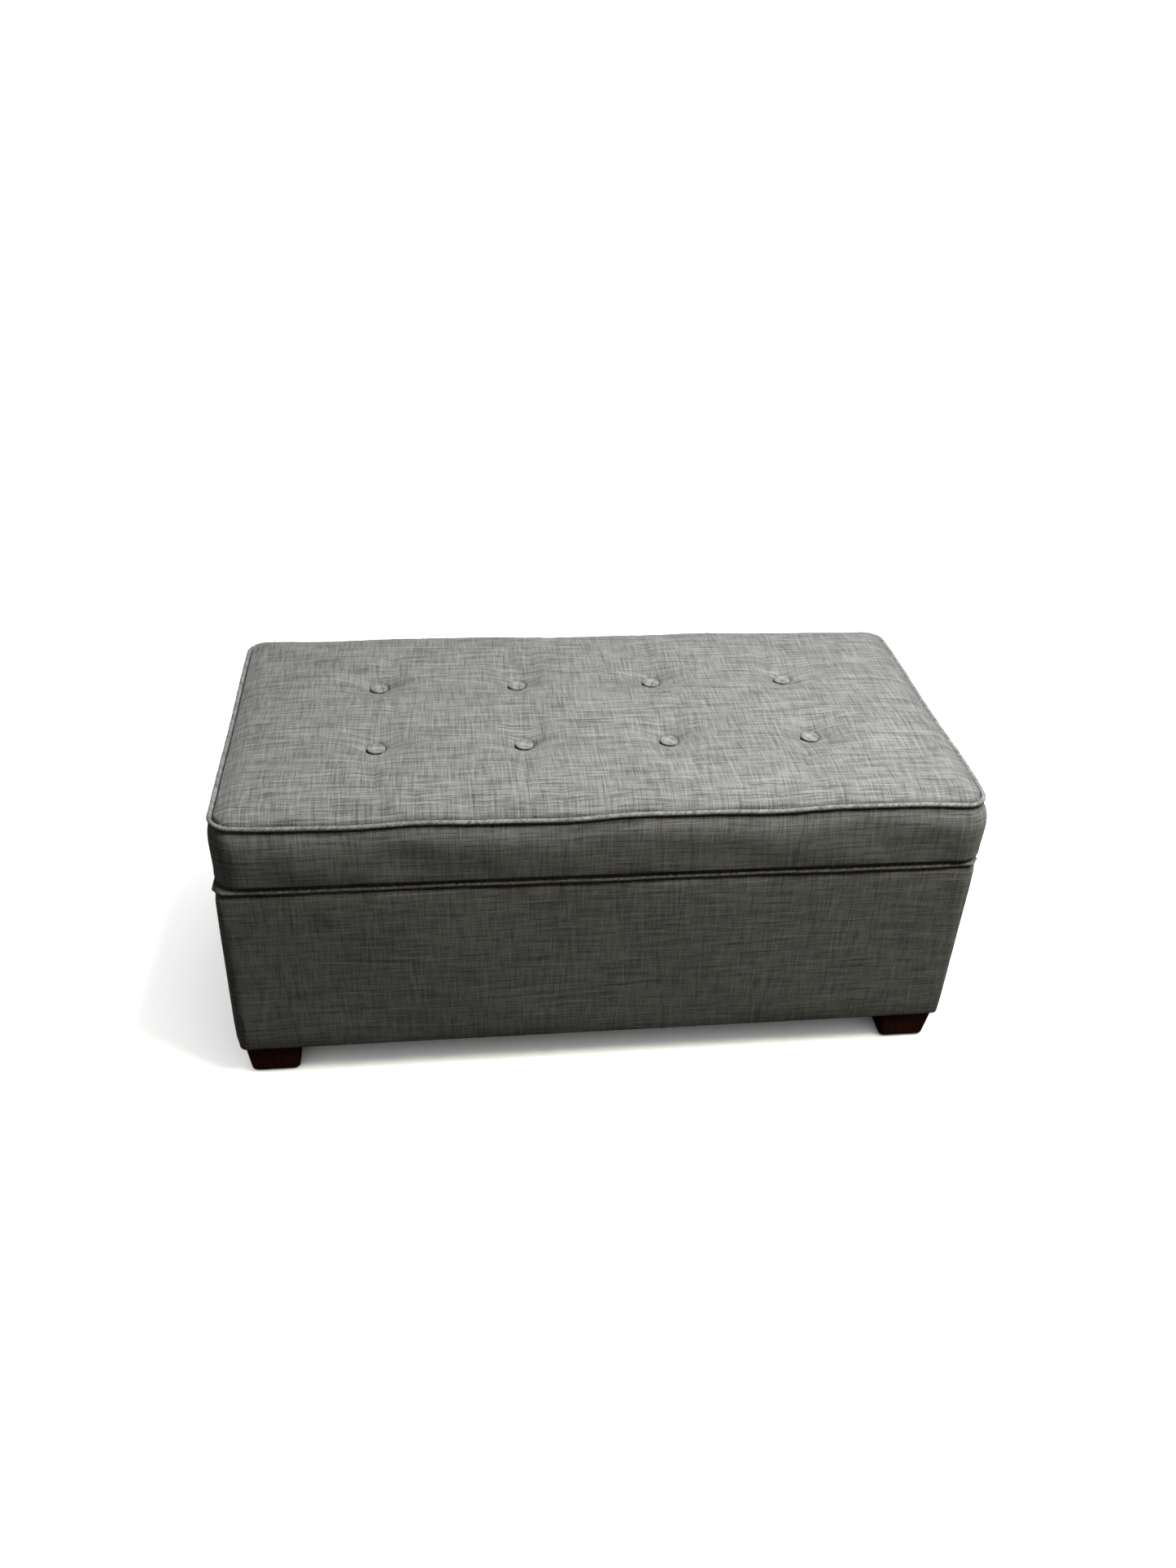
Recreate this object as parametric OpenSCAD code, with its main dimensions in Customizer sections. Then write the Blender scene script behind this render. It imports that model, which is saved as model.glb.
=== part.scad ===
// Upholstered storage bench: a fabric-wrapped plywood box on four wooden feet, closed by a
// padded, button-tufted lid that is hinged along the back and held by two soft-close stays.
// Units are millimetres. +Z is up, the front faces -Y, and the origin is on the floor under
// the middle of the bench. The lid is drawn closed.

/* [Overall] */
// Width over the lid's welt
bench_w = 1014; // [900:1:1100]
// Depth over the lid's welt
bench_d = 502; // [470:1:560]
// Height from the floor to the middle of the seat
seat_h = 457; // [440:1:500]
// Height from the floor to the top of the box's rim
rim_z = 339; // [310:1:360]

/* [Lid] */
// Rise of the seat's crown from its edges to its middle
crown = 23; // [12:1:35]
// Plan radius of the lid's corners
lid_r = 32; // [31:1:60]
// Gap between the rim and the closed lid
lid_gap = 5; // [5:0.5:8]
// How far the lid's lower edge stands out past its welt
side_flare = 6; // [2:0.5:12]
// Extra bulge of the lid's sides
side_bulge = 3; // [0:0.5:6]
// Thickness of the lid's deck
deck_t = 15; // [9:1:18]
// Wadding over the lid's foam
lid_wadding_t = 6; // [3:1:10]

/* [Buttons] */
// Radius of a covered button
button_r = 12.4; // [9:0.1:14]
// Height of a covered button
button_h = 9; // [6:0.5:11]
// Spacing of the buttons along the bench
button_pitch_x = 201; // [150:1:215]
// Spacing of the two rows of buttons
button_pitch_y = 165; // [120:1:200]
// Depth of the buttons' seats below the crown
button_sink = 23; // [16:1:26]

/* [Box] */
// Thickness of the panels
panel_t = 15; // [12:1:18]
// Wadding round the box
box_wadding_t = 3; // [2:0.5:4]
// Thickness of the upholstery fabric
fabric_t = 1.5; // [1:0.1:2]
// Plan radius of the box's corners
box_r = 11; // [10:1:20]
// Side of a square corner post
post_w = 30; // [20:1:40]

/* [Feet] */
// Height of a wooden foot
foot_h = 50; // [30:1:80]
// Side of a foot at its top
foot_top_w = 77; // [60:1:90]
// Side of a foot near its bottom
foot_bottom_w = 66; // [50:1:80]
// Distance from the box's side to a foot
foot_inset = 6; // [5:1:30]

/* [Hinges and stays] */
// Length of a butt hinge
hinge_l = 60; // [50:1:80]
// Distance between neighbouring hinges
hinge_pitch = 320; // [250:5:380]
// Distance from the hinge axis to the stay bracket's pin, along the lid
stay_reach = 165; // [150:1:180]
// Distance from the hinge axis forward to the damper's shaft
damper_y = 100; // [95:1:110]
// Distance from the hinge axis down to the damper's shaft
damper_drop = 62; // [55:1:80]

/* [Hidden] */

$fn = 64;
// Facets of the very large crown cylinders in a mesh view
crown_fn = 720;
// Clearance between a shaft and its hole
fit = 0.05;
// Small overlap that makes a cut pass right through
eps = 1;

FABRIC = [0.43, 0.43, 0.44];
PLYWOOD = [0.80, 0.68, 0.50];
PINE = [0.86, 0.74, 0.55];
WADDING = [0.93, 0.93, 0.91];
FOAM = [0.94, 0.88, 0.66];
BLACK_CLOTH = [0.10, 0.10, 0.11];
ESPRESSO = [0.16, 0.09, 0.07];
STEEL = [0.72, 0.73, 0.75];
PLASTIC = [0.13, 0.13, 0.14];
TWINE = [0.88, 0.86, 0.80];

// Heights in the box, from the floor up
glide_t = 2;
foot_z = glide_t;
dust_z = foot_z + foot_h;
dust_t = 0.8;
cover_z = dust_z + dust_t;
bottom_z = cover_z + fabric_t;
wall_z = bottom_z + panel_t;
wall_top_z = rim_z - fabric_t;
box_welt_r = 3;
box_welt_in = 1;
box_welt_drop = 5;
box_welt_z = rim_z - box_welt_drop;

// Box outlines, from the outside in
box_w = bench_w;
box_d = bench_d - 2;
wadding_in = fabric_t;
panel_in = fabric_t + box_wadding_t;
room_in = panel_in + panel_t;
room_w = box_w - 2 * room_in;
room_d = box_d - 2 * room_in;
turn_in = 35;
lining_t = 1;

// Screws of the box
panel_screw_r = 2;
panel_screw_head_r = 4;
panel_screw_l = 40;
front_screw_z = [120, 285];
side_screw_z = [150, 255];

// Staples
staple_edge = 9;
staple_pitch_x = 100;
staple_pitch_y = 80;
dust_margin = 15;

// Heights in the lid
lid_z = rim_z + lid_gap;
deck_z = lid_z + fabric_t;
foam_z = deck_z + deck_t;
edge_z = seat_h - crown;
lid_welt_r = 3.2;
lid_welt_z = edge_z - fabric_t;
boxing_top_z = lid_welt_z - lid_welt_r;
wadding_edge_z = edge_z - fabric_t;
foam_edge_z = wadding_edge_z - lid_wadding_t;

// Lid outlines, measured inwards from the welt's outer edge
top_in = 2 * lid_welt_r + 0.1;
foam_in = 8;
turn_under = 30;
lid_lining_in = 24;
lid_lining_r = 6;
lid_staple_edge = 4;
tuck_r = 8;
boxing_top_in = 2;
crown_rx = ((bench_w / 2 - top_in) ^ 2 + crown ^ 2) / (2 * crown);
crown_ry = ((bench_d / 2 - top_in) ^ 2 + crown ^ 2) / (2 * crown);

// Buttons
cup_z = seat_h - button_sink;
cup_r = 16;
shank_r = 2.2;
shank_h = 4;
twine_r = 0.75;
twine_hole_r = 2.6;
anchor_r = 11;
anchor_t = 1.2;

// Hinges: the axis runs along X behind the box, halfway up the lid gap
hinge_y = box_d / 2 + 3.2;
hinge_z = rim_z + lid_gap / 2;
leaf_t = 1.2;
leaf_off = 1.3;
leaf_low = -leaf_off - leaf_t;
leaf_reach = 22.2;
knuckle_r = 2.4;
knuckle_gap = 0.3;
knuckle_l = hinge_l / 5;
hinge_pin_r = 1.1;
screw_r = 1.6;
screw_head_r = 3.2;
hinge_screw_l = 14;
hinge_screw_x = hinge_l / 2 - 8;
hinge_screw_y = -15.2;

// Stays: pivots A on the lid, B on the side wall and C at the elbow, as [y, z]
pivot_drop = 15.5;
pivot_a = [hinge_y - stay_reach, hinge_z - pivot_drop];
pivot_b = [hinge_y - damper_y, hinge_z - damper_drop];
pivot_c = [pivot_b[0] - stay_reach, pivot_b[1] - pivot_drop];
stay_x = room_w / 2 - lining_t;
damper_plate_t = 3;
damper_r = 21;
damper_t = 10;
damper_shaft_r = 4.5;
damper_shaft_head_r = 7;
damper_ear_w = 24;
arm_gap = 0.8;
head_gap = 0.3;
arm_t = 3;
arm_w = 18;
lever_x = stay_x - damper_plate_t - damper_t - arm_gap - arm_t;
link_x = lever_x - arm_gap - arm_t;
stay_pin_r = 3;
stay_pin_head_r = 5.5;
stay_head_t = 1.3;
stay_screw_r = 1.8;
stay_screw_head_r = 3.5;
damper_screw_y = 28;
stay_screw_l = 12;
bracket_t = 2;
bracket_w = 27;
bracket_l = 36;
bracket_screw_y = 11;
bracket_screw_in = 9;
bracket_screw_x = lever_x + arm_t - bracket_w + bracket_screw_in;

// Feet and their bolts
foot_x = box_w / 2 - foot_inset - foot_top_w / 2;
foot_y = box_d / 2 - foot_inset - foot_top_w / 2;
foot_slice_t = 0.1;
bolt_r = 4;
bolt_depth = 30;
bolt_below = 1;
t_nut_r = 5;
t_nut_flange_r = 11;
t_nut_flange_t = 1.5;
t_nut_barrel_h = 9.5;
glide_r = 11;
glide_nail_r = 1.2;
glide_nail_l = 12;

// ---------- shapes that several pieces use ----------

// A rectangle with round corners, centred on the origin
module round_rect(w, d, r) {
    square([w - 2 * r, d], center = true);
    square([w, d - 2 * r], center = true);
    for (sx = [-1, 1], sy = [-1, 1])
        translate([sx * (w / 2 - r), sy * (d / 2 - r)])
            circle(r = r);
}

// Sweeps a profile round a rounded rectangle: the profile's x points outwards from the
// rectangle's edge and its y points up
module sweep_round(w, d, r) {
    for (i = [0:3]) {
        a = i % 2 == 0 ? w : d;
        b = i % 2 == 0 ? d : w;
        rotate(90 * i) {
            translate([a / 2, 0, 0])
                rotate([90, 0, 0])
                    linear_extrude(b - 2 * r, center = true)
                        children();
            translate([a / 2 - r, b / 2 - r, 0])
                rotate_extrude(angle = 90)
                    translate([r, 0])
                        children();
        }
    }
}

// Turns an outline drawn as [y, z] into a plate that starts at x
module plate_yz(x, t) {
    translate([x, 0, 0])
        rotate([90, 0, 90])
            linear_extrude(t)
                children();
}

// A strip with round ends between two points
module strip(p, q, w) {
    length = norm(q - p);
    translate(p)
        rotate(atan2(q[1] - p[1], q[0] - p[0])) {
            translate([0, -w / 2])
                square([length, w]);
            circle(r = w / 2);
            translate([length, 0])
                circle(r = w / 2);
        }
}

// A cylinder along X from x0 to x1 through a [y, z] point
module rod_x(p, r, x0, x1) {
    translate([x0, p[0], p[1]])
        rotate([0, 90, 0])
            cylinder(r = r, h = x1 - x0);
}

// A countersunk wood screw: its head's flat face is at z = 0 and its shank points down
module countersunk_screw(r, head_r, length) {
    head_t = 1.2;
    difference() {
        union() {
            translate([0, 0, -head_t])
                cylinder(r1 = r, r2 = head_r, h = head_t);
            translate([0, 0, -length])
                cylinder(r = r, h = length - head_t);
        }
        cross_recess(head_r, 0.8);
    }
}

// A pan-head wood screw: its head rests on z = 0 and its shank points down
module pan_screw(r, head_r, length) {
    head_t = 1.4;
    difference() {
        union() {
            cylinder(r = head_r, h = head_t);
            translate([0, 0, -length])
                cylinder(r = r, h = length);
        }
        translate([0, 0, head_t])
            cross_recess(head_r, 0.8);
    }
}

// The crossed slots in a screw head whose face is at z = 0
module cross_recess(head_r, depth) {
    slot = 0.7;
    for (turn = [0, 90])
        rotate(turn)
            translate([-head_r * 0.6, -slot / 2, -depth])
                cube([head_r * 1.2, slot, depth + eps]);
}

// A staple driven upwards: its crown hangs below z = 0
module staple() {
    wire = 0.6;
    crown_l = 10;
    leg = 7;
    translate([-crown_l / 2, -wire / 2, -wire])
        cube([crown_l, wire, wire]);
    for (x = [-crown_l / 2, crown_l / 2 - wire])
        translate([x, -wire / 2, -wire])
            cube([wire, wire, leg]);
}

// Places spaced at about the pitch along a run, centred on zero
function places(run, pitch) = [
    for (i = [0:floor(run / pitch)]) (i - floor(run / pitch) / 2) * pitch
];

// Staples round a rectangle, with their crowns along its sides; run is the stretch that
// they fill on each side
module staples_round(w, d, run_x, run_y) {
    for (sy = [-1, 1], x = places(run_x, staple_pitch_x))
        translate([x, sy * d / 2])
            staple();
    for (sx = [-1, 1], y = places(run_y, staple_pitch_y))
        translate([sx * w / 2, y])
            rotate(90)
                staple();
}

// Copies for the four corners of a rectangle
module at_corners(x, y) {
    for (sx = [-1, 1], sy = [-1, 1])
        translate([sx * x, sy * y, 0])
            children();
}

// ---------- box ----------

// Plan of the panels' outside, whose corners are rounded over under the wadding
module panel_outline() {
    round_rect(box_w - 2 * panel_in, box_d - 2 * panel_in, box_r - panel_in);
}

module wall_x(sy) {
    color(PLYWOOD)
        translate([0, 0, wall_z])
            linear_extrude(wall_top_z - wall_z)
                intersection() {
                    panel_outline();
                    translate([0, sy * (box_d / 2 - panel_in - panel_t / 2)])
                        square([box_w, panel_t], center = true);
                }
}

module wall_y(sx) {
    color(PLYWOOD)
        translate([sx * (box_w / 2 - panel_in - panel_t / 2), 0, wall_z])
            linear_extrude(wall_top_z - wall_z)
                square([panel_t, room_d], center = true);
}

module bottom_panel() {
    color(PLYWOOD)
        difference() {
            translate([0, 0, bottom_z])
                linear_extrude(panel_t)
                    panel_outline();
            at_corners(foot_x, foot_y) {
                translate([0, 0, bottom_z - eps])
                    cylinder(r = t_nut_r + fit, h = panel_t + 2 * eps);
                translate([0, 0, wall_z - t_nut_flange_t])
                    cylinder(r = t_nut_flange_r + fit, h = t_nut_flange_t + eps);
            }
        }
}

module corner_post(sx, sy) {
    color(PINE)
        translate([sx * (room_w - post_w) / 2, sy * (room_d - post_w) / 2, wall_z])
            linear_extrude(wall_top_z - wall_z)
                square(post_w, center = true);
}

module panel_screw() {
    countersunk_screw(panel_screw_r, panel_screw_head_r, panel_screw_l);
}

module panel_screws() {
    panel_y = box_d / 2 - panel_in;
    panel_x = box_w / 2 - panel_in;
    post_x = (room_w - post_w) / 2;
    post_y = (room_d - post_w) / 2;
    color(STEEL) {
        for (sx = [-1, 1], z = front_screw_z) {
            translate([sx * post_x, panel_y, z])
                rotate([-90, 0, 0])
                    panel_screw();
            translate([sx * post_x, -panel_y, z])
                rotate([90, 0, 0])
                    panel_screw();
        }
        for (sy = [-1, 1], z = side_screw_z) {
            translate([panel_x, sy * post_y, z])
                rotate([0, 90, 0])
                    panel_screw();
            translate([-panel_x, sy * post_y, z])
                rotate([0, -90, 0])
                    panel_screw();
        }
        at_corners(box_w / 4, panel_y - panel_t / 2)
            translate([0, 0, bottom_z])
                rotate([180, 0, 0])
                    panel_screw();
        at_corners(panel_x - panel_t / 2, box_d / 5)
            translate([0, 0, bottom_z])
                rotate([180, 0, 0])
                    panel_screw();
    }
}

module box_welt_ring(r) {
    sweep_round(box_w, box_d, box_r)
        translate([-box_welt_in, box_welt_z])
            circle(r = r, $fn = 32);
}

module box_wadding() {
    color(WADDING)
        difference() {
            translate([0, 0, bottom_z])
                linear_extrude(wall_top_z - bottom_z)
                    difference() {
                        round_rect(box_w - 2 * wadding_in, box_d - 2 * wadding_in, box_r - wadding_in);
                        panel_outline();
                    }
            box_welt_ring(box_welt_r + fit);
        }
}

// The fabric round the box, turned in under the bottom
module box_side_cover() {
    color(FABRIC)
        difference() {
            translate([0, 0, cover_z])
                linear_extrude(box_welt_z - cover_z)
                    round_rect(box_w, box_d, box_r);
            translate([0, 0, bottom_z])
                linear_extrude(box_welt_z)
                    round_rect(box_w - 2 * fabric_t, box_d - 2 * fabric_t, box_r - fabric_t);
            translate([0, 0, cover_z - eps])
                linear_extrude(panel_t)
                    square([box_w - 2 * turn_in, box_d - 2 * turn_in], center = true);
            at_corners(foot_x, foot_y)
                translate([0, 0, cover_z - eps])
                    cylinder(r = t_nut_r, h = panel_t);
            box_welt_ring(box_welt_r + fit);
        }
}

// The strip of fabric over the rim, above the welt
module box_rim_cover() {
    color(FABRIC)
        difference() {
            translate([0, 0, box_welt_z])
                linear_extrude(rim_z - box_welt_z)
                    round_rect(box_w, box_d, box_r);
            translate([0, 0, box_welt_z - eps])
                linear_extrude(wall_top_z - box_welt_z + eps)
                    round_rect(box_w - 2 * fabric_t, box_d - 2 * fabric_t, box_r - fabric_t);
            translate([0, 0, box_welt_z - eps])
                linear_extrude(panel_t)
                    square([room_w, room_d], center = true);
            box_welt_ring(box_welt_r + fit);
        }
}

module box_welt() {
    color(FABRIC)
        box_welt_ring(box_welt_r);
}

// Plan of the storage room, drawn in by t and notched round the corner posts
module room_outline(t) {
    difference() {
        square([room_w - 2 * t, room_d - 2 * t], center = true);
        for (sx = [-1, 1], sy = [-1, 1])
            translate([sx * room_w / 2, sy * room_d / 2])
                square(2 * (post_w + t), center = true);
    }
}

module storage_lining() {
    color(BLACK_CLOTH)
        difference() {
            translate([0, 0, wall_z])
                linear_extrude(wall_top_z - wall_z)
                    room_outline(0);
            translate([0, 0, wall_z + lining_t])
                linear_extrude(wall_top_z - wall_z)
                    room_outline(lining_t);
        }
}

module dust_cover() {
    color(BLACK_CLOTH)
        difference() {
            translate([0, 0, dust_z])
                linear_extrude(dust_t)
                    square([box_w - 2 * dust_margin, box_d - 2 * dust_margin], center = true);
            at_corners(foot_x, foot_y)
                translate([0, 0, dust_z - eps])
                    cylinder(r = t_nut_r, h = dust_t + 2 * eps);
        }
}

// The staples run between the feet
module dust_cover_staples() {
    w = box_w - 2 * (dust_margin + staple_edge);
    d = box_d - 2 * (dust_margin + staple_edge);
    clear = foot_top_w + 20;
    color(STEEL)
        translate([0, 0, dust_z])
            staples_round(w, d, 2 * foot_x - clear, 2 * foot_y - clear);
}

// ---------- feet ----------

// A thin square slice of a foot, z above its bottom
module foot_slice(z, w) {
    corner_r = 6;
    translate([0, 0, z])
        linear_extrude(foot_slice_t)
            round_rect(w, w, corner_r, $fn = 32);
}

module foot(sx, sy) {
    edge_r = 4;
    color(ESPRESSO)
        translate([sx * foot_x, sy * foot_y, foot_z])
            difference() {
                hull() {
                    foot_slice(0, foot_bottom_w - 2 * edge_r);
                    foot_slice(edge_r * 0.3, foot_bottom_w - edge_r * 0.6);
                    foot_slice(edge_r, foot_bottom_w);
                    foot_slice(foot_h - foot_slice_t, foot_top_w);
                }
                translate([0, 0, foot_h - bolt_depth])
                    cylinder(r = bolt_r + fit, h = bolt_depth + eps);
                translate([0, 0, -eps])
                    cylinder(r = glide_nail_r + fit, h = glide_nail_l + eps);
            }
}

module foot_glides() {
    color("whitesmoke")
        at_corners(foot_x, foot_y) {
            cylinder(r = glide_r, h = glide_t);
            translate([0, 0, glide_t])
                cylinder(r = glide_nail_r, h = glide_nail_l);
        }
}

module foot_bolts() {
    color(STEEL)
        at_corners(foot_x, foot_y)
            translate([0, 0, dust_z - bolt_depth])
                cylinder(r = bolt_r, h = wall_z - bolt_below - dust_z + bolt_depth);
}

module foot_t_nuts() {
    color(STEEL)
        at_corners(foot_x, foot_y)
            difference() {
                union() {
                    translate([0, 0, wall_z - t_nut_flange_t])
                        cylinder(r = t_nut_flange_r, h = t_nut_flange_t);
                    translate([0, 0, wall_z - t_nut_flange_t - t_nut_barrel_h])
                        cylinder(r = t_nut_r, h = t_nut_barrel_h);
                }
                translate([0, 0, bottom_z])
                    cylinder(r = bolt_r + fit, h = panel_t + eps);
            }
}

module rim_bumpers() {
    bumper_r = 6;
    bumper_h = lid_gap - 0.3;
    rim_mid = room_in / 2;
    front_x = box_w * 0.42;
    color(PLASTIC)
        for (sx = [-1, 1]) {
            translate([sx * front_x, -(box_d / 2 - rim_mid), rim_z])
                cylinder(r = bumper_r, h = bumper_h);
            translate([sx * (box_w / 2 - rim_mid), box_d / 5, rim_z])
                cylinder(r = bumper_r, h = bumper_h);
        }
}

// ---------- hinges ----------

// One leaf with its knuckles, drawn about the hinge axis, lying below it
module hinge_leaf(first_knuckle, knuckles) {
    notch = knuckle_r + 0.6;
    lap = 0.5;
    difference() {
        union() {
            translate([-hinge_l / 2, -leaf_reach, leaf_low])
                cube([hinge_l, leaf_reach - notch, leaf_t]);
            for (i = [0:knuckles - 1]) {
                x = -hinge_l / 2 + (first_knuckle + 2 * i) * knuckle_l + knuckle_gap / 2;
                translate([x, -notch - lap, leaf_low])
                    cube([knuckle_l - knuckle_gap, notch + lap, leaf_t]);
                rod_x([0, 0], knuckle_r, x, x + knuckle_l - knuckle_gap);
            }
        }
        rod_x([0, 0], hinge_pin_r + fit, -hinge_l, hinge_l);
        for (i = [-1:1])
            translate([i * hinge_screw_x, hinge_screw_y, leaf_low])
                cylinder(r1 = screw_r + 2 * fit, r2 = screw_head_r + 2 * fit, h = leaf_t);
    }
}

module at_hinges() {
    for (i = [-1:1])
        translate([i * hinge_pitch, hinge_y, hinge_z])
            children();
}

module hinge_screws() {
    at_hinges()
        for (i = [-1:1])
            translate([i * hinge_screw_x, hinge_screw_y, -leaf_off])
                countersunk_screw(screw_r, screw_head_r, hinge_screw_l);
}

// Reflects what is drawn below the hinge axis to above it
module above_axis() {
    translate([0, 0, 2 * hinge_z])
        mirror([0, 0, 1])
            children();
}

module hinge_box_leaves() {
    color(STEEL)
        at_hinges()
            hinge_leaf(0, 3);
}

module hinge_lid_leaves() {
    color(STEEL)
        above_axis()
            at_hinges()
                hinge_leaf(1, 2);
}

module hinge_pins() {
    head_l = 0.8;
    head_r = 1.9;
    end_x = hinge_l / 2;
    color(STEEL)
        at_hinges() {
            rod_x([0, 0], hinge_pin_r, -end_x, end_x);
            rod_x([0, 0], head_r, -end_x - head_l, -end_x);
            rod_x([0, 0], head_r, end_x, end_x + head_l);
        }
}

// ---------- stays ----------

// Draws a stay piece, which is modelled at the right end, at the end that side names
module at_side(side) {
    if (side > 0)
        children();
    else
        mirror([1, 0, 0])
            children();
}

module stay_damper(side) {
    plate_x = stay_x - damper_plate_t;
    shaft_end = lever_x - head_gap;
    screw_off = [damper_screw_y, 0];
    color(PLASTIC)
        at_side(side)
            difference() {
                union() {
                    plate_yz(plate_x, damper_plate_t)
                        strip(pivot_b - screw_off, pivot_b + screw_off, damper_ear_w);
                    rod_x(pivot_b, damper_r, plate_x - damper_t, plate_x);
                    rod_x(pivot_b, damper_shaft_r, shaft_end, plate_x - damper_t);
                    rod_x(pivot_b, damper_shaft_head_r, shaft_end - stay_head_t, shaft_end);
                }
                for (s = [-1, 1])
                    rod_x(pivot_b + s * screw_off, stay_screw_r + fit, plate_x - eps, stay_x + eps);
            }
}

module stay_lever(side) {
    color(STEEL)
        at_side(side)
            difference() {
                plate_yz(lever_x, arm_t)
                    strip(pivot_b, pivot_c, arm_w);
                rod_x(pivot_b, damper_shaft_r + fit, lever_x - eps, lever_x + arm_t + eps);
                rod_x(pivot_c, stay_pin_r + fit, lever_x - eps, lever_x + arm_t + eps);
            }
}

module stay_link(side) {
    color(STEEL)
        at_side(side)
            difference() {
                plate_yz(link_x, arm_t)
                    strip(pivot_c, pivot_a, arm_w - 2);
                rod_x(pivot_c, stay_pin_r + fit, link_x - eps, link_x + arm_t + eps);
                rod_x(pivot_a, stay_pin_r + fit, link_x - eps, link_x + arm_t + eps);
            }
}

// A riveted pin whose body sits in the plate at lever_x and whose head is inside the link
module stay_pin(p) {
    head_x = link_x - head_gap;
    rod_x(p, stay_pin_r, head_x, lever_x + arm_t);
    rod_x(p, stay_pin_head_r, head_x - stay_head_t, head_x);
}

module stay_elbow_pin(side) {
    color(STEEL)
        at_side(side)
            stay_pin(pivot_c);
}

module stay_bracket_pins() {
    color(STEEL)
        for (side = [-1, 1])
            at_side(side)
                stay_pin(pivot_a);
}

module stay_bracket(side) {
    base_z = lid_z - lining_t - bracket_t;
    color(STEEL)
        at_side(side)
            difference() {
                union() {
                    translate([lever_x + arm_t - bracket_w, pivot_a[0] - bracket_l / 2, base_z])
                        cube([bracket_w, bracket_l, bracket_t]);
                    plate_yz(lever_x, arm_t) {
                        translate(pivot_a)
                            circle(r = arm_w / 2);
                        translate(pivot_a - [arm_w / 2, 0])
                            square([arm_w, base_z + bracket_t - pivot_a[1]]);
                    }
                }
                rod_x(pivot_a, stay_pin_r + fit, lever_x - eps, lever_x + arm_t + eps);
                for (s = [-1, 1])
                    translate([bracket_screw_x, pivot_a[0] + s * bracket_screw_y, base_z - eps])
                        cylinder(r = stay_screw_r + fit, h = bracket_t + 2 * eps);
            }
}

// ---------- screws of the hinges and stays ----------

module box_hardware_screws() {
    color(STEEL) {
        hinge_screws();
        for (side = [-1, 1], s = [-1, 1])
            at_side(side)
                translate([stay_x - damper_plate_t, pivot_b[0] + s * damper_screw_y, pivot_b[1]])
                    rotate([0, -90, 0])
                        pan_screw(stay_screw_r, stay_screw_head_r, stay_screw_l);
    }
}

module lid_hardware_screws() {
    head_z = lid_z - lining_t - bracket_t;
    color(STEEL) {
        above_axis()
            hinge_screws();
        for (side = [-1, 1], s = [-1, 1])
            at_side(side)
                translate([bracket_screw_x, pivot_a[0] + s * bracket_screw_y, head_z])
                    rotate([180, 0, 0])
                        pan_screw(stay_screw_r, stay_screw_head_r, stay_screw_l);
    }
}

// ---------- lid ----------

// How far the boxing's outside stands out from the welt's outer edge, at height s from 0 to 1
function boxing_out(s) = side_flare * (1 - s) - boxing_top_in * s + side_bulge * sin(180 * s);

// The boxing's side as points from the tuck under the lid up to the welt, drawn in by t
tuck_mid = [side_flare - tuck_r, lid_z + tuck_r];
boxing_h = boxing_top_z - lid_z - tuck_r;
function boxing_side(t) = concat(
    [for (a = [-90:22.5:0]) tuck_mid + (tuck_r - t) * [cos(a), sin(a)]],
    [for (s = [0.125:0.125:1]) [boxing_out(s) - t, lid_z + tuck_r + s * boxing_h]]
);

function reversed(points) = [for (i = [len(points) - 1:-1:0]) points[i]];

// A solid that starts at z and ends at the crowned surface whose edges are at edge
module pillow(z, edge, inset) {
    intersection() {
        translate([0, 0, z])
            linear_extrude(seat_h)
                round_rect(bench_w - 2 * inset, bench_d - 2 * inset, lid_r - inset);
        translate([0, 0, edge + crown - crown_ry])
            rotate([0, 90, 0])
                cylinder(r = crown_ry, h = 2 * bench_w, center = true, $fn = crown_fn);
        translate([0, 0, edge + crown - crown_rx])
            rotate([90, 0, 0])
                cylinder(r = crown_rx, h = 2 * bench_d, center = true, $fn = crown_fn);
    }
}

// The layer between two crowned surfaces
module crowned_layer(low_edge, high_edge) {
    dip = 2;
    difference() {
        pillow(low_edge - dip, high_edge, top_in);
        pillow(low_edge - 2 * dip, low_edge, top_in - eps);
    }
}

module at_buttons() {
    for (row = [-0.5, 0.5], column = [-1.5:1:1.5])
        translate([column * button_pitch_x, row * button_pitch_y, 0])
            children();
}

// Room for the fabric cups that the buttons sit in
module cup_room() {
    at_buttons()
        translate([0, 0, cup_z - fabric_t])
            cylinder(r = cup_r, h = seat_h);
}

module twine_holes(r) {
    at_buttons()
        translate([0, 0, lid_z - eps])
            cylinder(r = r, h = seat_h - lid_z);
}

module lid_deck() {
    color(PLYWOOD)
        difference() {
            translate([0, 0, deck_z])
                linear_extrude(deck_t)
                    round_rect(bench_w - 2 * foam_in, bench_d - 2 * foam_in, lid_r - foam_in);
            twine_holes(twine_hole_r);
        }
}

module lid_foam() {
    color(FOAM)
        difference() {
            pillow(foam_z, foam_edge_z, foam_in);
            cup_room();
            twine_holes(twine_hole_r);
        }
}

// Wadding over the foam and down its sides
module lid_wadding() {
    color(WADDING)
        difference() {
            union() {
                crowned_layer(foam_edge_z, wadding_edge_z);
                sweep_round(bench_w, bench_d, lid_r)
                    polygon(concat(
                        [[-foam_in, deck_z]],
                        boxing_side(fabric_t),
                        [[-foam_in, boxing_top_z]]
                    ));
            }
            cup_room();
        }
}

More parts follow.
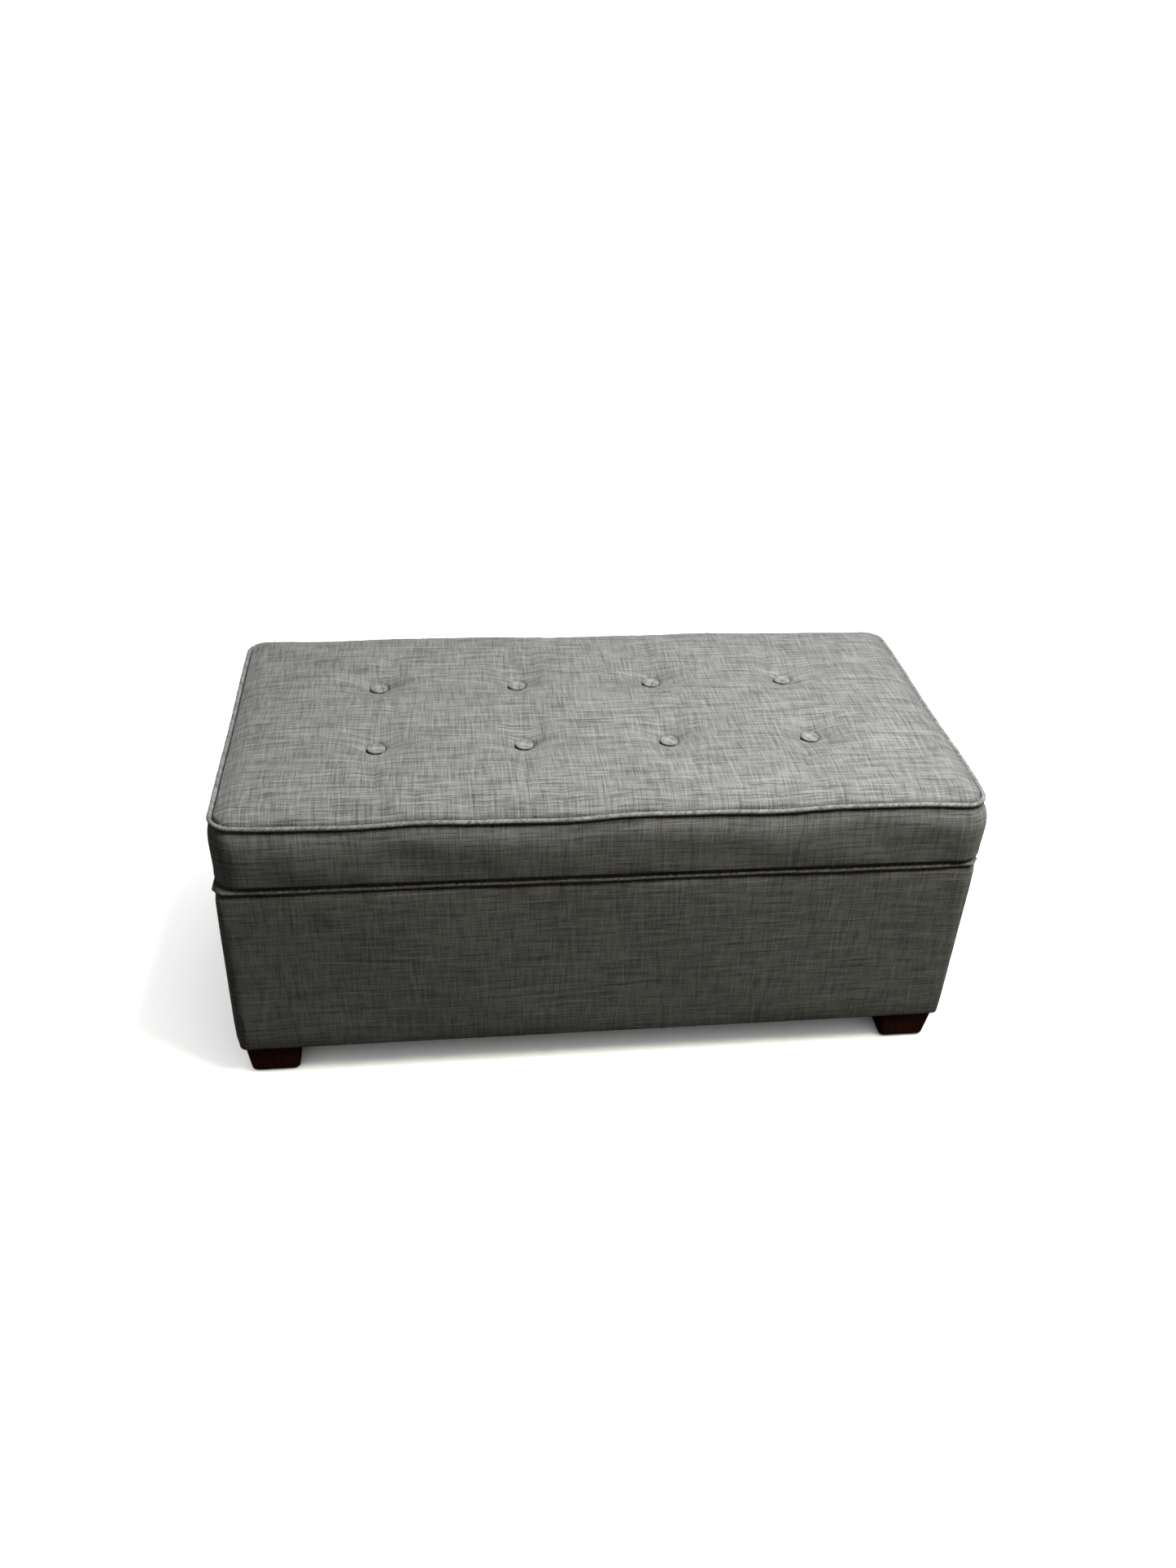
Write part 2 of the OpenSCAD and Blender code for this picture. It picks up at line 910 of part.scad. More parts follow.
// The top panel of fabric, with a cup where each button pulls it down
module lid_top_cover() {
    color(FABRIC)
        difference() {
            union() {
                crowned_layer(wadding_edge_z, edge_z);
                intersection() {
                    pillow(cup_z - fabric_t, edge_z, top_in);
                    cup_room();
                }
            }
            at_buttons()
                translate([0, 0, cup_z])
                    cylinder(r = cup_r - fabric_t, h = seat_h);
            twine_holes(twine_hole_r);
        }
}

// The band round the lid's sides, turned in under the deck
module lid_boxing() {
    color(FABRIC)
        sweep_round(bench_w, bench_d, lid_r)
            polygon(concat(
                [[-turn_under, lid_z]],
                boxing_side(0),
                reversed(boxing_side(fabric_t)),
                [[-turn_under, deck_z]]
            ));
}

module lid_welt() {
    color(FABRIC)
        sweep_round(bench_w, bench_d, lid_r)
            translate([-lid_welt_r, lid_welt_z])
                circle(r = lid_welt_r, $fn = 32);
}

module lid_lining() {
    color(BLACK_CLOTH)
        translate([0, 0, lid_z - lining_t])
            linear_extrude(lining_t)
                round_rect(bench_w - 2 * lid_lining_in, bench_d - 2 * lid_lining_in, lid_lining_r);
}

module lid_staples() {
    w = bench_w - 2 * (lid_lining_in + lid_staple_edge);
    d = bench_d - 2 * (lid_lining_in + lid_staple_edge);
    color(STEEL)
        translate([0, 0, lid_z - lining_t])
            staples_round(w, d, w - 20, d - 20);
}

// ---------- buttons ----------

// A covered button with its shank; row is -1 at the front and 1 at the back
module button(row, column) {
    base_r = 9.5;
    rim_h = button_h * 0.38;
    under = [for (a = [0:22.5:90]) [base_r + (button_r - base_r) * sin(a), rim_h * (1 - cos(a))]];
    dome = [for (a = [10:10:90]) [button_r * cos(a), rim_h + (button_h - rim_h) * sin(a)]];
    color(FABRIC)
        translate([
            (column - 2.5) * button_pitch_x,
            row * button_pitch_y / 2,
            cup_z
        ]) {
            rotate_extrude()
                polygon(concat([[0, 0]], under, dome));
            translate([0, 0, -shank_h])
                cylinder(r = shank_r, h = shank_h);
        }
}

module button_twines() {
    color(TWINE)
        at_buttons()
            translate([0, 0, deck_z - anchor_t])
                cylinder(r = twine_r, h = cup_z - shank_h - deck_z + anchor_t, $fn = 16);
}

module button_anchors() {
    color(STEEL)
        at_buttons()
            translate([0, 0, deck_z - anchor_t])
                difference() {
                    cylinder(r = anchor_r, h = anchor_t);
                    translate([0, 0, -eps])
                        cylinder(r = twine_r + fit, h = anchor_t + 2 * eps, $fn = 16);
                }
}

// ---------- nodes ----------

wall_x(-1);  // front_panel
wall_x(1);  // back_panel
wall_y(-1);  // left_panel
wall_y(1);  // right_panel
bottom_panel();
corner_post(-1, -1);  // corner_post_front_left
corner_post(1, -1);  // corner_post_front_right
corner_post(-1, 1);  // corner_post_back_left
corner_post(1, 1);  // corner_post_back_right
panel_screws();
box_wadding();
box_side_cover();
box_rim_cover();
box_welt();
storage_lining();
dust_cover();
dust_cover_staples();
foot(-1, -1);  // foot_front_left
foot(1, -1);  // foot_front_right
foot(-1, 1);  // foot_back_left
foot(1, 1);  // foot_back_right
foot_glides();
foot_bolts();
foot_t_nuts();
rim_bumpers();
hinge_box_leaves();
hinge_pins();
box_hardware_screws();
stay_damper(-1);  // stay_damper_left
stay_damper(1);  // stay_damper_right
lid_deck();
lid_foam();
lid_wadding();
lid_top_cover();
lid_boxing();
lid_welt();
lid_lining();
lid_staples();
button(-1, 1);  // button_front_1
button(-1, 2);  // button_front_2
button(-1, 3);  // button_front_3
button(-1, 4);  // button_front_4
button(1, 1);  // button_back_1
button(1, 2);  // button_back_2
button(1, 3);  // button_back_3
button(1, 4);  // button_back_4
button_twines();
button_anchors();
hinge_lid_leaves();
lid_hardware_screws();
stay_bracket(-1);  // stay_bracket_left
stay_bracket(1);  // stay_bracket_right
stay_bracket_pins();
stay_lever(-1);  // stay_lever_left
stay_lever(1);  // stay_lever_right
stay_elbow_pin(-1);  // stay_elbow_pin_left
stay_elbow_pin(1);  // stay_elbow_pin_right
stay_link(-1);  // stay_link_left
stay_link(1);  // stay_link_right
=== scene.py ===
"""Looks of the upholstered storage bench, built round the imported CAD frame.

Everything is in metres. The fabric pieces are lofted round the bench's rounded rectangles or
laid as grids over the seat, each with a UV map called "cloth" that is measured in metres of
fabric, so that the weave has its true scale and runs along each panel.
"""
import math

import bpy
import numpy as np
from mathutils import Matrix, Vector


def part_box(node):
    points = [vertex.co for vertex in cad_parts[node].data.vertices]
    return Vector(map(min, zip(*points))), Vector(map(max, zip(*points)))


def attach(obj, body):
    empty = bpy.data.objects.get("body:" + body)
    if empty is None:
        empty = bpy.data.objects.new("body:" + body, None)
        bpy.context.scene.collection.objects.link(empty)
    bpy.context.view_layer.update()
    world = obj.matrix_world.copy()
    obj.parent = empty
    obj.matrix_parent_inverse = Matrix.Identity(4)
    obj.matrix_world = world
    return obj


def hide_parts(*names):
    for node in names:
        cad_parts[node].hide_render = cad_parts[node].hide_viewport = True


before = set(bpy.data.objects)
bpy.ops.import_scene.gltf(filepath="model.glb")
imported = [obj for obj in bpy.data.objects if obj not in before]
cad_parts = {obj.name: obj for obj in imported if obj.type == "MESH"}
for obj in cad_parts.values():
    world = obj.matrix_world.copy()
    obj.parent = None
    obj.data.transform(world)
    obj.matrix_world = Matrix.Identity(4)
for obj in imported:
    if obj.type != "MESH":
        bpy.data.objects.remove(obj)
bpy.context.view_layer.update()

ENDS = ("front", "back")
SIDES = ("left", "right")


# ---------- sizes, read from the frame ----------

def node_box(name):
    """The lowest and highest corner of a CAD node, as arrays."""
    low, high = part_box(name)
    return np.array(low), np.array(high)


def node_middle(name):
    low, high = node_box(name)
    return (low + high) / 2


def node_size(name):
    low, high = node_box(name)
    return high - low


FABRIC_T = 0.0015
LINING_T = 0.0007
LID_W, LID_D, _ = node_size("lid_welt")
WELT_R = node_size("lid_welt")[2] / 2
LID_WELT_Z = node_middle("lid_welt")[2]
LID_CORNER_R = 0.032
BAND_LOW_Z = node_box("lid_boxing")[0][2]
SIDE_FLARE = (node_size("lid_boxing")[0] - LID_W) / 2
SEAT_TOP_Z = node_box("lid_top_cover")[1][2]

BOX_W, BOX_D, _ = node_size("box_side_cover")
BOX_CORNER_R = 0.0095
SIDE_LOW_Z = node_box("box_side_cover")[0][2]
BOX_WELT_R = node_size("box_welt")[2] / 2
BOX_WELT_Z = node_middle("box_welt")[2]
RIM_Z = node_box("box_rim_cover")[1][2]
ROOM_W, ROOM_D, _ = node_size("storage_lining")

BUTTON_NODES = [f"button_{row}_{i}" for row in ENDS for i in (1, 2, 3, 4)]
BUTTON_R = node_size(BUTTON_NODES[0])[0] / 2
BUTTON_TOP_Z = node_box(BUTTON_NODES[0])[1][2]
BUTTON_UNDER_Z = BUTTON_TOP_Z - 0.0054
BUTTON_XY = np.array([node_middle(name)[:2] for name in BUTTON_NODES])
BUTTON_COLUMNS, BUTTON_ROWS = [sorted(set(np.round(places, 4))) for places in BUTTON_XY.T]
FOOT_NODES = [f"foot_{end}_{side}" for end in ENDS for side in SIDES]


# ---------- mesh helpers ----------

def smooth(t):
    """0 below t = 0 and 1 above t = 1, with soft ends."""
    t = np.clip(t, 0.0, 1.0)
    return t * t * (3 - 2 * t)


def ripple(x, length, start=0.0):
    """A sine wave of that length, in metres."""
    return np.sin(2 * math.pi * (x - start) / length)


class Outline:
    """Stations round a rounded rectangle, anticlockwise from above, from the middle of its
    back. Where the fabric is joined there, the stations are close enough to hold a seam."""

    def __init__(self, w, d, r, step=0.006, seam=False):
        x, y = w / 2, d / 2
        near = [0.0, 0.0006, 0.0012, 0.002, 0.0035] if seam else [0.0]
        self.rows = []
        self._line((0, y), (-x + r, y), step, near)
        self._arc((-x + r, y - r), r, 90, step)
        self._line((-x, y - r), (-x, -y + r), step)
        self._arc((-x + r, -y + r), r, 180, step)
        self._line((-x + r, -y), (x - r, -y), step)
        self._arc((x - r, -y + r), r, 270, step)
        self._line((x, -y + r), (x, y - r), step)
        self._arc((x - r, y - r), r, 0, step)
        self._line((x - r, y), (0, y), step)
        for gap in near[:0:-1]:
            self.rows.append(((gap, y), (0.0, 1.0)))
        rows = np.array(self.rows)
        self.points, self.normals = rows[:, 0], rows[:, 1]
        gaps = np.linalg.norm(np.roll(self.points, -1, axis=0) - self.points, axis=1)
        self.along = np.concatenate([[0.0], np.cumsum(gaps)])
        self.length = self.along[-1]
        self.count = len(self.points)

    def _line(self, a, b, step, near=(0.0,)):
        a, b = np.array(a), np.array(b)
        length = np.linalg.norm(b - a)
        along = (b - a) / length
        normal = (along[1], -along[0])
        normal = (-normal[0], -normal[1]) if np.dot(normal, a + b) < 0 else normal
        count = max(1, round(length / step))
        places = list(near) + [length * i / count for i in range(1, count)]
        for place in places:
            self.rows.append((tuple(a + along * place), tuple(normal)))

    def _arc(self, middle, r, start, step):
        count = max(8, round(r * math.pi / 2 / step))
        for i in range(count):
            angle = math.radians(start + 90 * i / count)
            normal = (math.cos(angle), math.sin(angle))
            self.rows.append(((middle[0] + r * normal[0], middle[1] + r * normal[1]), normal))

    def from_seam(self, i):
        """How far station i is from the seam, along the outline."""
        return min(self.along[i], self.length - self.along[i])

    def flatness(self, i):
        """1 where station i is on a straight side, and 0 well inside a corner."""
        return 1 - smooth((abs(self.normals[i]).min() - 0.02) / 0.2)


def add_object(name, data):
    made = bpy.data.objects.new(name, data)
    bpy.context.scene.collection.objects.link(made)
    return made


def new_piece(name, vertices, faces, uvs):
    """A smooth-shaded object, with one (u, v) in metres of cloth for each face corner."""
    mesh = bpy.data.meshes.new(name)
    mesh.from_pydata([tuple(v) for v in vertices], [], faces)
    layer = mesh.uv_layers.new(name="cloth")
    layer.data.foreach_set("uv", np.array(uvs, np.float32).ravel())
    mesh.shade_smooth()
    return add_object(name, mesh)


def loft(name, outline, profile, bias=False):
    """A closed skin whose section at station i is the closed loop profile(i) of (out, z)
    points, measured outwards from the outline. A bias-cut strip has its weave at 45 degrees."""
    sections = [np.array(profile(i)) for i in range(outline.count)]
    m = len(sections[0])
    vertices = np.concatenate([
        np.column_stack([outline.points[i] + s[:, :1] * outline.normals[i], s[:, 1]])
        for i, s in enumerate(sections)
    ])
    loop = np.vstack([sections[0], sections[0][:1]])
    across = np.concatenate([[0.0], np.cumsum(np.linalg.norm(np.diff(loop, axis=0), axis=1))])
    faces, uvs = [], []
    for i in range(outline.count):
        j = (i + 1) % outline.count
        u0, u1 = outline.along[i], outline.along[i + 1]
        for k in range(m):
            n = (k + 1) % m
            faces.append((i * m + k, j * m + k, j * m + n, i * m + n))
            corner = [(u0, across[k]), (u1, across[k]), (u1, across[k + 1]), (u0, across[k + 1])]
            uvs += [((u + v) * 0.7071, (v - u) * 0.7071) for u, v in corner] if bias else corner
    return new_piece(name, vertices, faces, uvs)


def ring_faces(rings, sides, first=0):
    """Quads between closed rings of vertices, one above the other."""
    faces = []
    for k in range(first, first + (rings - 1) * sides, sides):
        for i in range(sides):
            j = (i + 1) % sides
            faces.append((k + i, k + j, k + sides + j, k + sides + i))
    return faces


def thick_line(line, thickness):
    """A closed section from an open line of (out, z) points that runs upwards: the line and
    its copy set in by the thickness."""
    line = np.array(line, float)
    tangent = np.gradient(line, axis=0)
    tangent /= np.linalg.norm(tangent, axis=1, keepdims=True)
    inward = np.column_stack([-tangent[:, 1], tangent[:, 0]])
    return np.vstack([line, (line + thickness * inward)[::-1]])


def circle_section(r, out, z, sides=18):
    """A round section as (out, z) points."""
    angle = np.arange(sides) * 2 * math.pi / sides
    return np.column_stack([out + r * np.cos(angle), z + r * np.sin(angle)])


def bend(start, end, middle, r, count=7):
    """Points on an arc of (out, z), with its angles in degrees."""
    angle = np.radians(np.linspace(start, end, count))
    return [(middle[0] + r * math.cos(a), middle[1] + r * math.sin(a)) for a in angle]


def resample(line, step):
    """The line with its straight stretches divided at about the step."""
    points = [np.array(line[0], float)]
    for a, b in zip(line[:-1], line[1:]):
        a, b = np.array(a, float), np.array(b, float)
        count = max(1, round(np.linalg.norm(b - a) / step))
        points += [a + (b - a) * (i + 1) / count for i in range(count)]
    return np.array(points)


def seam_dip(distance, depth=0.0011, width=0.0013):
    """How far the fabric sinks into a seam, at a distance from it."""
    return depth * math.exp(-(distance / width) ** 2)


def round_corner(x, y, half_w, half_d, r):
    """Takes a point of a square-cornered rectangle to the rounded one, where x and y run
    from -1 to 1. Grid lines at one distance from the edge stay at that distance."""
    px, py = x * half_w, y * half_d
    ax, ay = np.abs(px) - (half_w - r), np.abs(py) - (half_d - r)
    cornered = (ax > 1e-9) & (ay > 1e-9)
    reach = np.maximum(ax, ay)
    share = np.minimum(ax, ay) / np.where(cornered, reach, 1.0)
    turn = np.where(ax >= ay, share, 2 - share) * math.pi / 4
    rx = np.sign(px) * (half_w - r + reach * np.cos(turn))
    ry = np.sign(py) * (half_d - r + reach * np.sin(turn))
    return np.where(cornered, rx, px), np.where(cornered, ry, py)


def edge_distance(x, y, half_w, half_d, r):
    """How far inside a rounded rectangle a point is."""
    ax, ay = np.abs(x) - (half_w - r), np.abs(y) - (half_d - r)
    beyond = np.hypot(np.maximum(ax, 0), np.maximum(ay, 0))
    return r - beyond - np.minimum(np.maximum(ax, ay), 0)


# ---------- the shape of the lid's upholstery ----------

# The seat cover's edge: its seam lies under the welt.
COVER_IN = WELT_R + 0.0002
COVER_HALF_W = LID_W / 2 - COVER_IN
COVER_HALF_D = LID_D / 2 - COVER_IN
COVER_R = LID_CORNER_R - COVER_IN
SEAM_Z = LID_WELT_Z - WELT_R - 0.0004
# From the seam inwards: a groove, a steep wall and a soft roll.
GROOVE_W = WELT_R + 0.0006
WALL_W = 0.0036
WALL_H = 0.0072
ROLL_W = 0.034
ROLL_H = 0.009
# Along each row of buttons a trough, and round each button a dimple and a narrow pocket.
TROUGH_W = 0.055
TROUGH_H = 0.0055
DIMPLE_R = 0.044
POCKET_R = BUTTON_R + 0.0036
POCKET_EDGE = 0.0044
POCKET_H = 0.0062
# The side band: cloth turned under the deck and up the side, drawn in under the welt.
BAND_UNDER = 0.030
BAND_TOP_IN = 0.0034
BAND_SHADE_IN = 0.0002
BAND_SHADE_FROM = 0.92
BAND_ROLL = 6.5
BAND_FLARE = SIDE_FLARE - 0.0015


def welt_wave(x, y):
    """How the welt rises and falls round the seat, from the pull of its stitching."""
    front = -0.0006 + 0.0018 * ripple(x, 0.288, -0.01) + 0.0006 * ripple(x, 0.134, 0.121)
    front = front - 0.0018 * ripple(x, 1.054, -0.502)
    back = 0.0014 * ripple(x, 0.41, 0.1) + 0.0005 * ripple(x, 0.17)
    side = 0.0012 * ripple(y, 0.29, 0.07)
    near_front = smooth((-y - LID_D / 2 + 0.07) / 0.07)
    near_back = smooth((y - LID_D / 2 + 0.07) / 0.07)
    return front * near_front + back * near_back + side * (1 - near_front - near_back)


def seat_height(x, y):
    """The height of the seat's fabric: from the seam under the welt a groove, a steep wall
    and a soft roll up to the crown, pulled down round the buttons and along their rows."""
    inside = edge_distance(x, y, COVER_HALF_W, COVER_HALF_D, COVER_R) - GROOVE_W
    wall = np.sqrt(1 - (1 - np.clip(inside / WALL_W, 0, 1)) ** 2)
    roll = 1 - (1 - np.clip(inside / ROLL_W, 0, 1)) ** 2
    crown_x = 1 - np.abs(x / COVER_HALF_W) ** 4.5
    crown_y = 1 - np.abs(y / COVER_HALF_D) ** 2.6
    crown_h = SEAT_TOP_Z - SEAM_Z - WALL_H - ROLL_H
    crown = crown_h * np.maximum(crown_x, 0) * np.maximum(crown_y, 0)
    height = SEAM_Z + WALL_H * wall + ROLL_H * roll + crown
    height = height + welt_wave(x, y) * smooth(1 - inside / 0.06)
    for row_y in BUTTON_ROWS:
        between = smooth((np.abs(BUTTON_XY[:, 0]).max() + 0.09 - np.abs(x)) / 0.12)
        height = height - TROUGH_H * between * np.exp(-((y - row_y) / TROUGH_W) ** 2)
    for i, (bx, by) in enumerate(BUTTON_XY):
        away = np.hypot(x - bx, y - by)
        angle = np.arctan2(y - by, x - bx)
        pull = np.clip(1 - (away - BUTTON_R) / DIMPLE_R, 0, 1) ** 2.2
        folds = 0.0003 * np.sin(7 * angle + 1.7 * i) * np.exp(-((away - 0.025) / 0.011) ** 2)
        height = height + (BUTTON_UNDER_Z + 0.0014 - height) * pull + folds
        height = height - POCKET_H * smooth((POCKET_R - away) / POCKET_EDGE)
    return height


def side_flare(x):
    """How far the band's lower edge stands out: less at the left end, where the lid sits
    almost flush with the box, and more at the right end."""
    left = smooth((-x - LID_W / 2 + 0.05) / 0.05)
    right = smooth((x - LID_W / 2 + 0.05) / 0.05)
    return BAND_FLARE - 0.0030 * left + 0.0040 * right


def band_line(wave, swell, hang, flare):
    """The lid's side band from its turned-under edge up to the welt, as (out, z) points. Its
    lower edge may hang below the deck."""
    tuck_r = 0.0042
    tuck = (flare - tuck_r, BAND_LOW_Z + tuck_r - hang)
    top = SEAM_Z + wave - FABRIC_T - 0.0003
    under = np.linspace(-BAND_UNDER, tuck[0] - 0.004, 5)
    line = [(x, BAND_LOW_Z - hang * max(0.0, 1 + x / 0.025)) for x in under]
    line += bend(-90, 0, tuck, tuck_r, 7)
    for s in np.linspace(0, 1, 25)[1:] ** 0.6:
        roll = min(1.0, s / BAND_SHADE_FROM) ** BAND_ROLL
        lean = (flare + BAND_SHADE_IN) * (1 - roll) - BAND_SHADE_IN
        tuck_in = smooth((s - BAND_SHADE_FROM) / (1 - BAND_SHADE_FROM))
        lean -= (BAND_TOP_IN - BAND_SHADE_IN) * tuck_in
        out = lean + (0.0006 + swell) * math.sin(math.pi * s)
        line.append((out, tuck[1] + (top - tuck[1]) * s))
    return line


# ---------- materials ----------

def add_node(tree, kind, inputs=None, **settings):
    """A shader node whose inputs are set to values or linked to other nodes' sockets."""
    made = tree.nodes.new(kind)
    for name, value in settings.items():
        setattr(made, name, value)
    for name, value in (inputs or {}).items():
        if isinstance(value, bpy.types.NodeSocket):
            tree.links.new(value, made.inputs[name])
        else:
            made.inputs[name].default_value = value
    return made


def new_material(name, roughness=0.5, **constants):
    """A material with its shader, whose constant inputs are given by their own names."""
    material = bpy.data.materials.new(name)
    material.use_nodes = True
    shader = material.node_tree.nodes["Principled BSDF"]
    shader.inputs["Roughness"].default_value = roughness
    for socket, value in constants.items():
        shader.inputs[socket.replace("_", " ")].default_value = value
    return material, material.node_tree, shader


def calculate(tree, operation, a, b=0.0):
    return add_node(tree, "ShaderNodeMath", {0: a, 1: b}, operation=operation).outputs[0]


def multiply(tree, a, b):
    return calculate(tree, "MULTIPLY", a, b)


def sine_wave(tree, value, half_length):
    return calculate(tree, "SINE", multiply(tree, value, math.pi / half_length))


def split(tree, vector):
    """The three parts of a vector."""
    return add_node(tree, "ShaderNodeSeparateXYZ", {0: vector}).outputs


def scale_vector(tree, vector, factors):
    made = add_node(tree, "ShaderNodeVectorMath", {0: vector, 1: factors}, operation="MULTIPLY")
    return made.outputs[0]


def blend_colours(tree, amount, a, b):
    """A mix of two colours, each of them a socket or (red, green, blue)."""
    a, b = [c if isinstance(c, bpy.types.NodeSocket) else (*c, 1.0) for c in (a, b)]
    made = add_node(tree, "ShaderNodeMix", {0: amount, 6: a, 7: b}, data_type="RGBA")
    return made.outputs[2]


def blend_values(tree, amount, a, b):
    """A mix of two values: all of a at 0, all of b at 1."""
    made = add_node(tree, "ShaderNodeMix", {0: amount, 2: a, 3: b}, data_type="FLOAT")
    return made.outputs[0]


def cloth_place(tree):
    return add_node(tree, "ShaderNodeUVMap", uv_map="cloth").outputs["UV"]


def object_place(tree):
    return add_node(tree, "ShaderNodeTexCoord").outputs["Object"]


def noise(tree, place, size, detail=2.0, roughness=0.5):
    """Noise from 0 to 1 whose features have that size, one for each direction, in metres."""
    scaled = scale_vector(tree, place, [1 / s for s in size])
    inputs = {"Vector": scaled, "Scale": 1.0, "Detail": detail, "Roughness": roughness}
    return add_node(tree, "ShaderNodeTexNoise", inputs).outputs[0]


def spread(tree, value, low, high, to_low=0.0, to_high=1.0):
    """The value with its range from low to high stretched over another range."""
    made = add_node(tree, "ShaderNodeMapRange", {0: value, 1: low, 2: high, 3: to_low, 4: to_high})
    return made.outputs[0]


def two_tone(tree, grain, dark, light, low=0.35):
    """A colour between dark and light, by the middle of the grain's range."""
    return blend_colours(tree, spread(tree, grain, low, 1 - low), dark, light)


def link_colour(tree, shader, colour, rough=None):
    """Links the colour, and a roughness that varies, to the shader."""
    tree.links.new(colour, shader.inputs["Base Color"])
    if rough is not None:
        tree.links.new(rough, shader.inputs["Roughness"])


def bump(tree, shader, height, distance, strength=1.0, under=None):
    inputs = {"Height": height, "Distance": distance, "Strength": strength}
    if under is not None:
        inputs["Normal"] = under
    made = add_node(tree, "ShaderNodeBump", inputs)
    tree.links.new(made.outputs["Normal"], shader.inputs["Normal"])
    return made.outputs["Normal"]


THREAD_PITCH = 0.0008


def weave(tree, place, pitch=THREAD_PITCH):
    """The height of a plain weave from 0 to 1: threads that cross over and under."""
    waves = [sine_wave(tree, way, pitch) for way in split(tree, place)[:2]]
    crossing = multiply(tree, *waves)
    ridges = multiply(tree, *[calculate(tree, "ABSOLUTE", one) for one in waves])
    return calculate(tree, "ADD", multiply(tree, crossing, 0.3), ridges)


def thread_tones(tree, across, along, thick, long):
    """Threads that lie side by side, each with its own run of light and dark from 0 to 1."""
    number = calculate(tree, "FLOOR", calculate(tree, "DIVIDE", across, thick))
    start = add_node(tree, "ShaderNodeTexWhiteNoise", {"W": number}, noise_dimensions="1D").outputs["Value"]
    place = calculate(tree, "DIVIDE", along, long)
    run = calculate(tree, "ADD", place, multiply(tree, start, 900.0))
    inputs = {"W": run, "Scale": 1.0, "Detail": 2.0, "Roughness": 0.6}
    return add_node(tree, "ShaderNodeTexNoise", inputs, noise_dimensions="1D").outputs[0]


def crossing_threads(tree, place, thick, long, contrast):
    """Warp and weft together, from 0 to 1. The weft shows a little more than the warp."""
    u, v = split(tree, place)[:2]
    warp = thread_tones(tree, u, v, thick, long)
    weft = thread_tones(tree, v, u, thick * 1.1, long * 1.4)
    return spread(tree, blend_values(tree, 0.57, warp, weft), 0.5 - 0.5 / contrast, 0.5 + 0.5 / contrast)


HEATHER_DARK = (0.035, 0.037, 0.038)
HEATHER_LIGHT = (0.455, 0.455, 0.445)
FLECK_BEIGE = (0.300, 0.262, 0.215)
FLECK_BLUE = (0.165, 0.190, 0.225)


def upholstery_material(name, light=1.0):
    """A linen-look heather grey: fine crossing threads, thicker slubs and faint flecks of
    colour, with painted shade in the weave's grooves. The light factor scales the whole colour, as painted
    light."""
    material, tree, shader = new_material(
        name, roughness=0.92, Sheen_Weight=0.22, Sheen_Roughness=0.45, Specular_IOR_Level=0.25,
    )
    place = cloth_place(tree)
    fine = crossing_threads(tree, place, 0.0011, 0.060, 5.0)
    slubs = crossing_threads(tree, place, 0.0019, 0.090, 3.8)
    fuzz = spread(tree, noise(tree, place, (0.0012, 0.0011, 1.0), detail=1.0), 0.37, 0.63)
    tone = blend_values(tree, 0.26, blend_values(tree, 0.38, fine, slubs), fuzz)
    colour = blend_colours(tree, tone, HEATHER_DARK, HEATHER_LIGHT)
    beige = spread(tree, noise(tree, place, (0.0022, 0.045, 1.0)), 0.56, 0.72, 0.0, 0.35)
    blue = spread(tree, noise(tree, place, (0.060, 0.0022, 1.0)), 0.55, 0.72, 0.0, 0.30)
    colour = blend_colours(tree, beige, colour, FLECK_BEIGE)
    colour = blend_colours(tree, blue, colour, FLECK_BLUE)
    threads = weave(tree, place)
    # Painted shade: the colour is darkened by up to 22 per cent where the threads dip, in the weave's
    # grooves.
    painted_groove_shade = spread(tree, threads, 0.0, 0.5, 0.78, 1.0)
    shade = add_node(tree, "ShaderNodeVectorMath", {0: colour, "Scale": painted_groove_shade}, operation="SCALE")
    # Painted light: the whole colour is multiplied by light, so that the button and piping copies are
    # painted lighter.
    lit = scale_vector(tree, shade.outputs[0], (light,) * 3)
    link_colour(tree, shader, lit, spread(tree, slubs, 0.0, 1.0, 0.97, 0.84))
    relief = bump(tree, shader, threads, 0.00018, 0.6)
    bump(tree, shader, slubs, 0.00030, 0.35, under=relief)
    return material


def plain_cloth_material(name, dark, light, pitch, relief, roughness=0.9):
    """A thin cloth of one colour with a visible grain of fibres."""
    material, tree, shader = new_material(name, roughness=roughness, Sheen_Weight=0.15, Sheen_Roughness=0.5)
    place = cloth_place(tree)
    fibres = noise(tree, place, (pitch, pitch, 1.0), detail=4.0, roughness=0.7)
    patches = noise(tree, place, (0.06, 0.05, 1.0), detail=3.0)
    tone = multiply(tree, calculate(tree, "ADD", fibres, patches), 0.5)
    link_colour(tree, shader, two_tone(tree, tone, dark, light))
    bump(tree, shader, calculate(tree, "ADD", weave(tree, place, pitch * 1.5), fibres), relief, 0.6)
    return material


def fibre_material(name, dark, light, size, relief):
    """Loose fibre or open foam: a soft random grain."""
    material, tree, shader = new_material(name, roughness=0.95, Sheen_Weight=0.2, Sheen_Roughness=0.6)
    place = object_place(tree)
    grain = noise(tree, place, (size,) * 3, detail=5.0, roughness=0.7)
    link_colour(tree, shader, two_tone(tree, grain, dark, light))
    bump(tree, shader, grain, relief, 0.8)
    return material


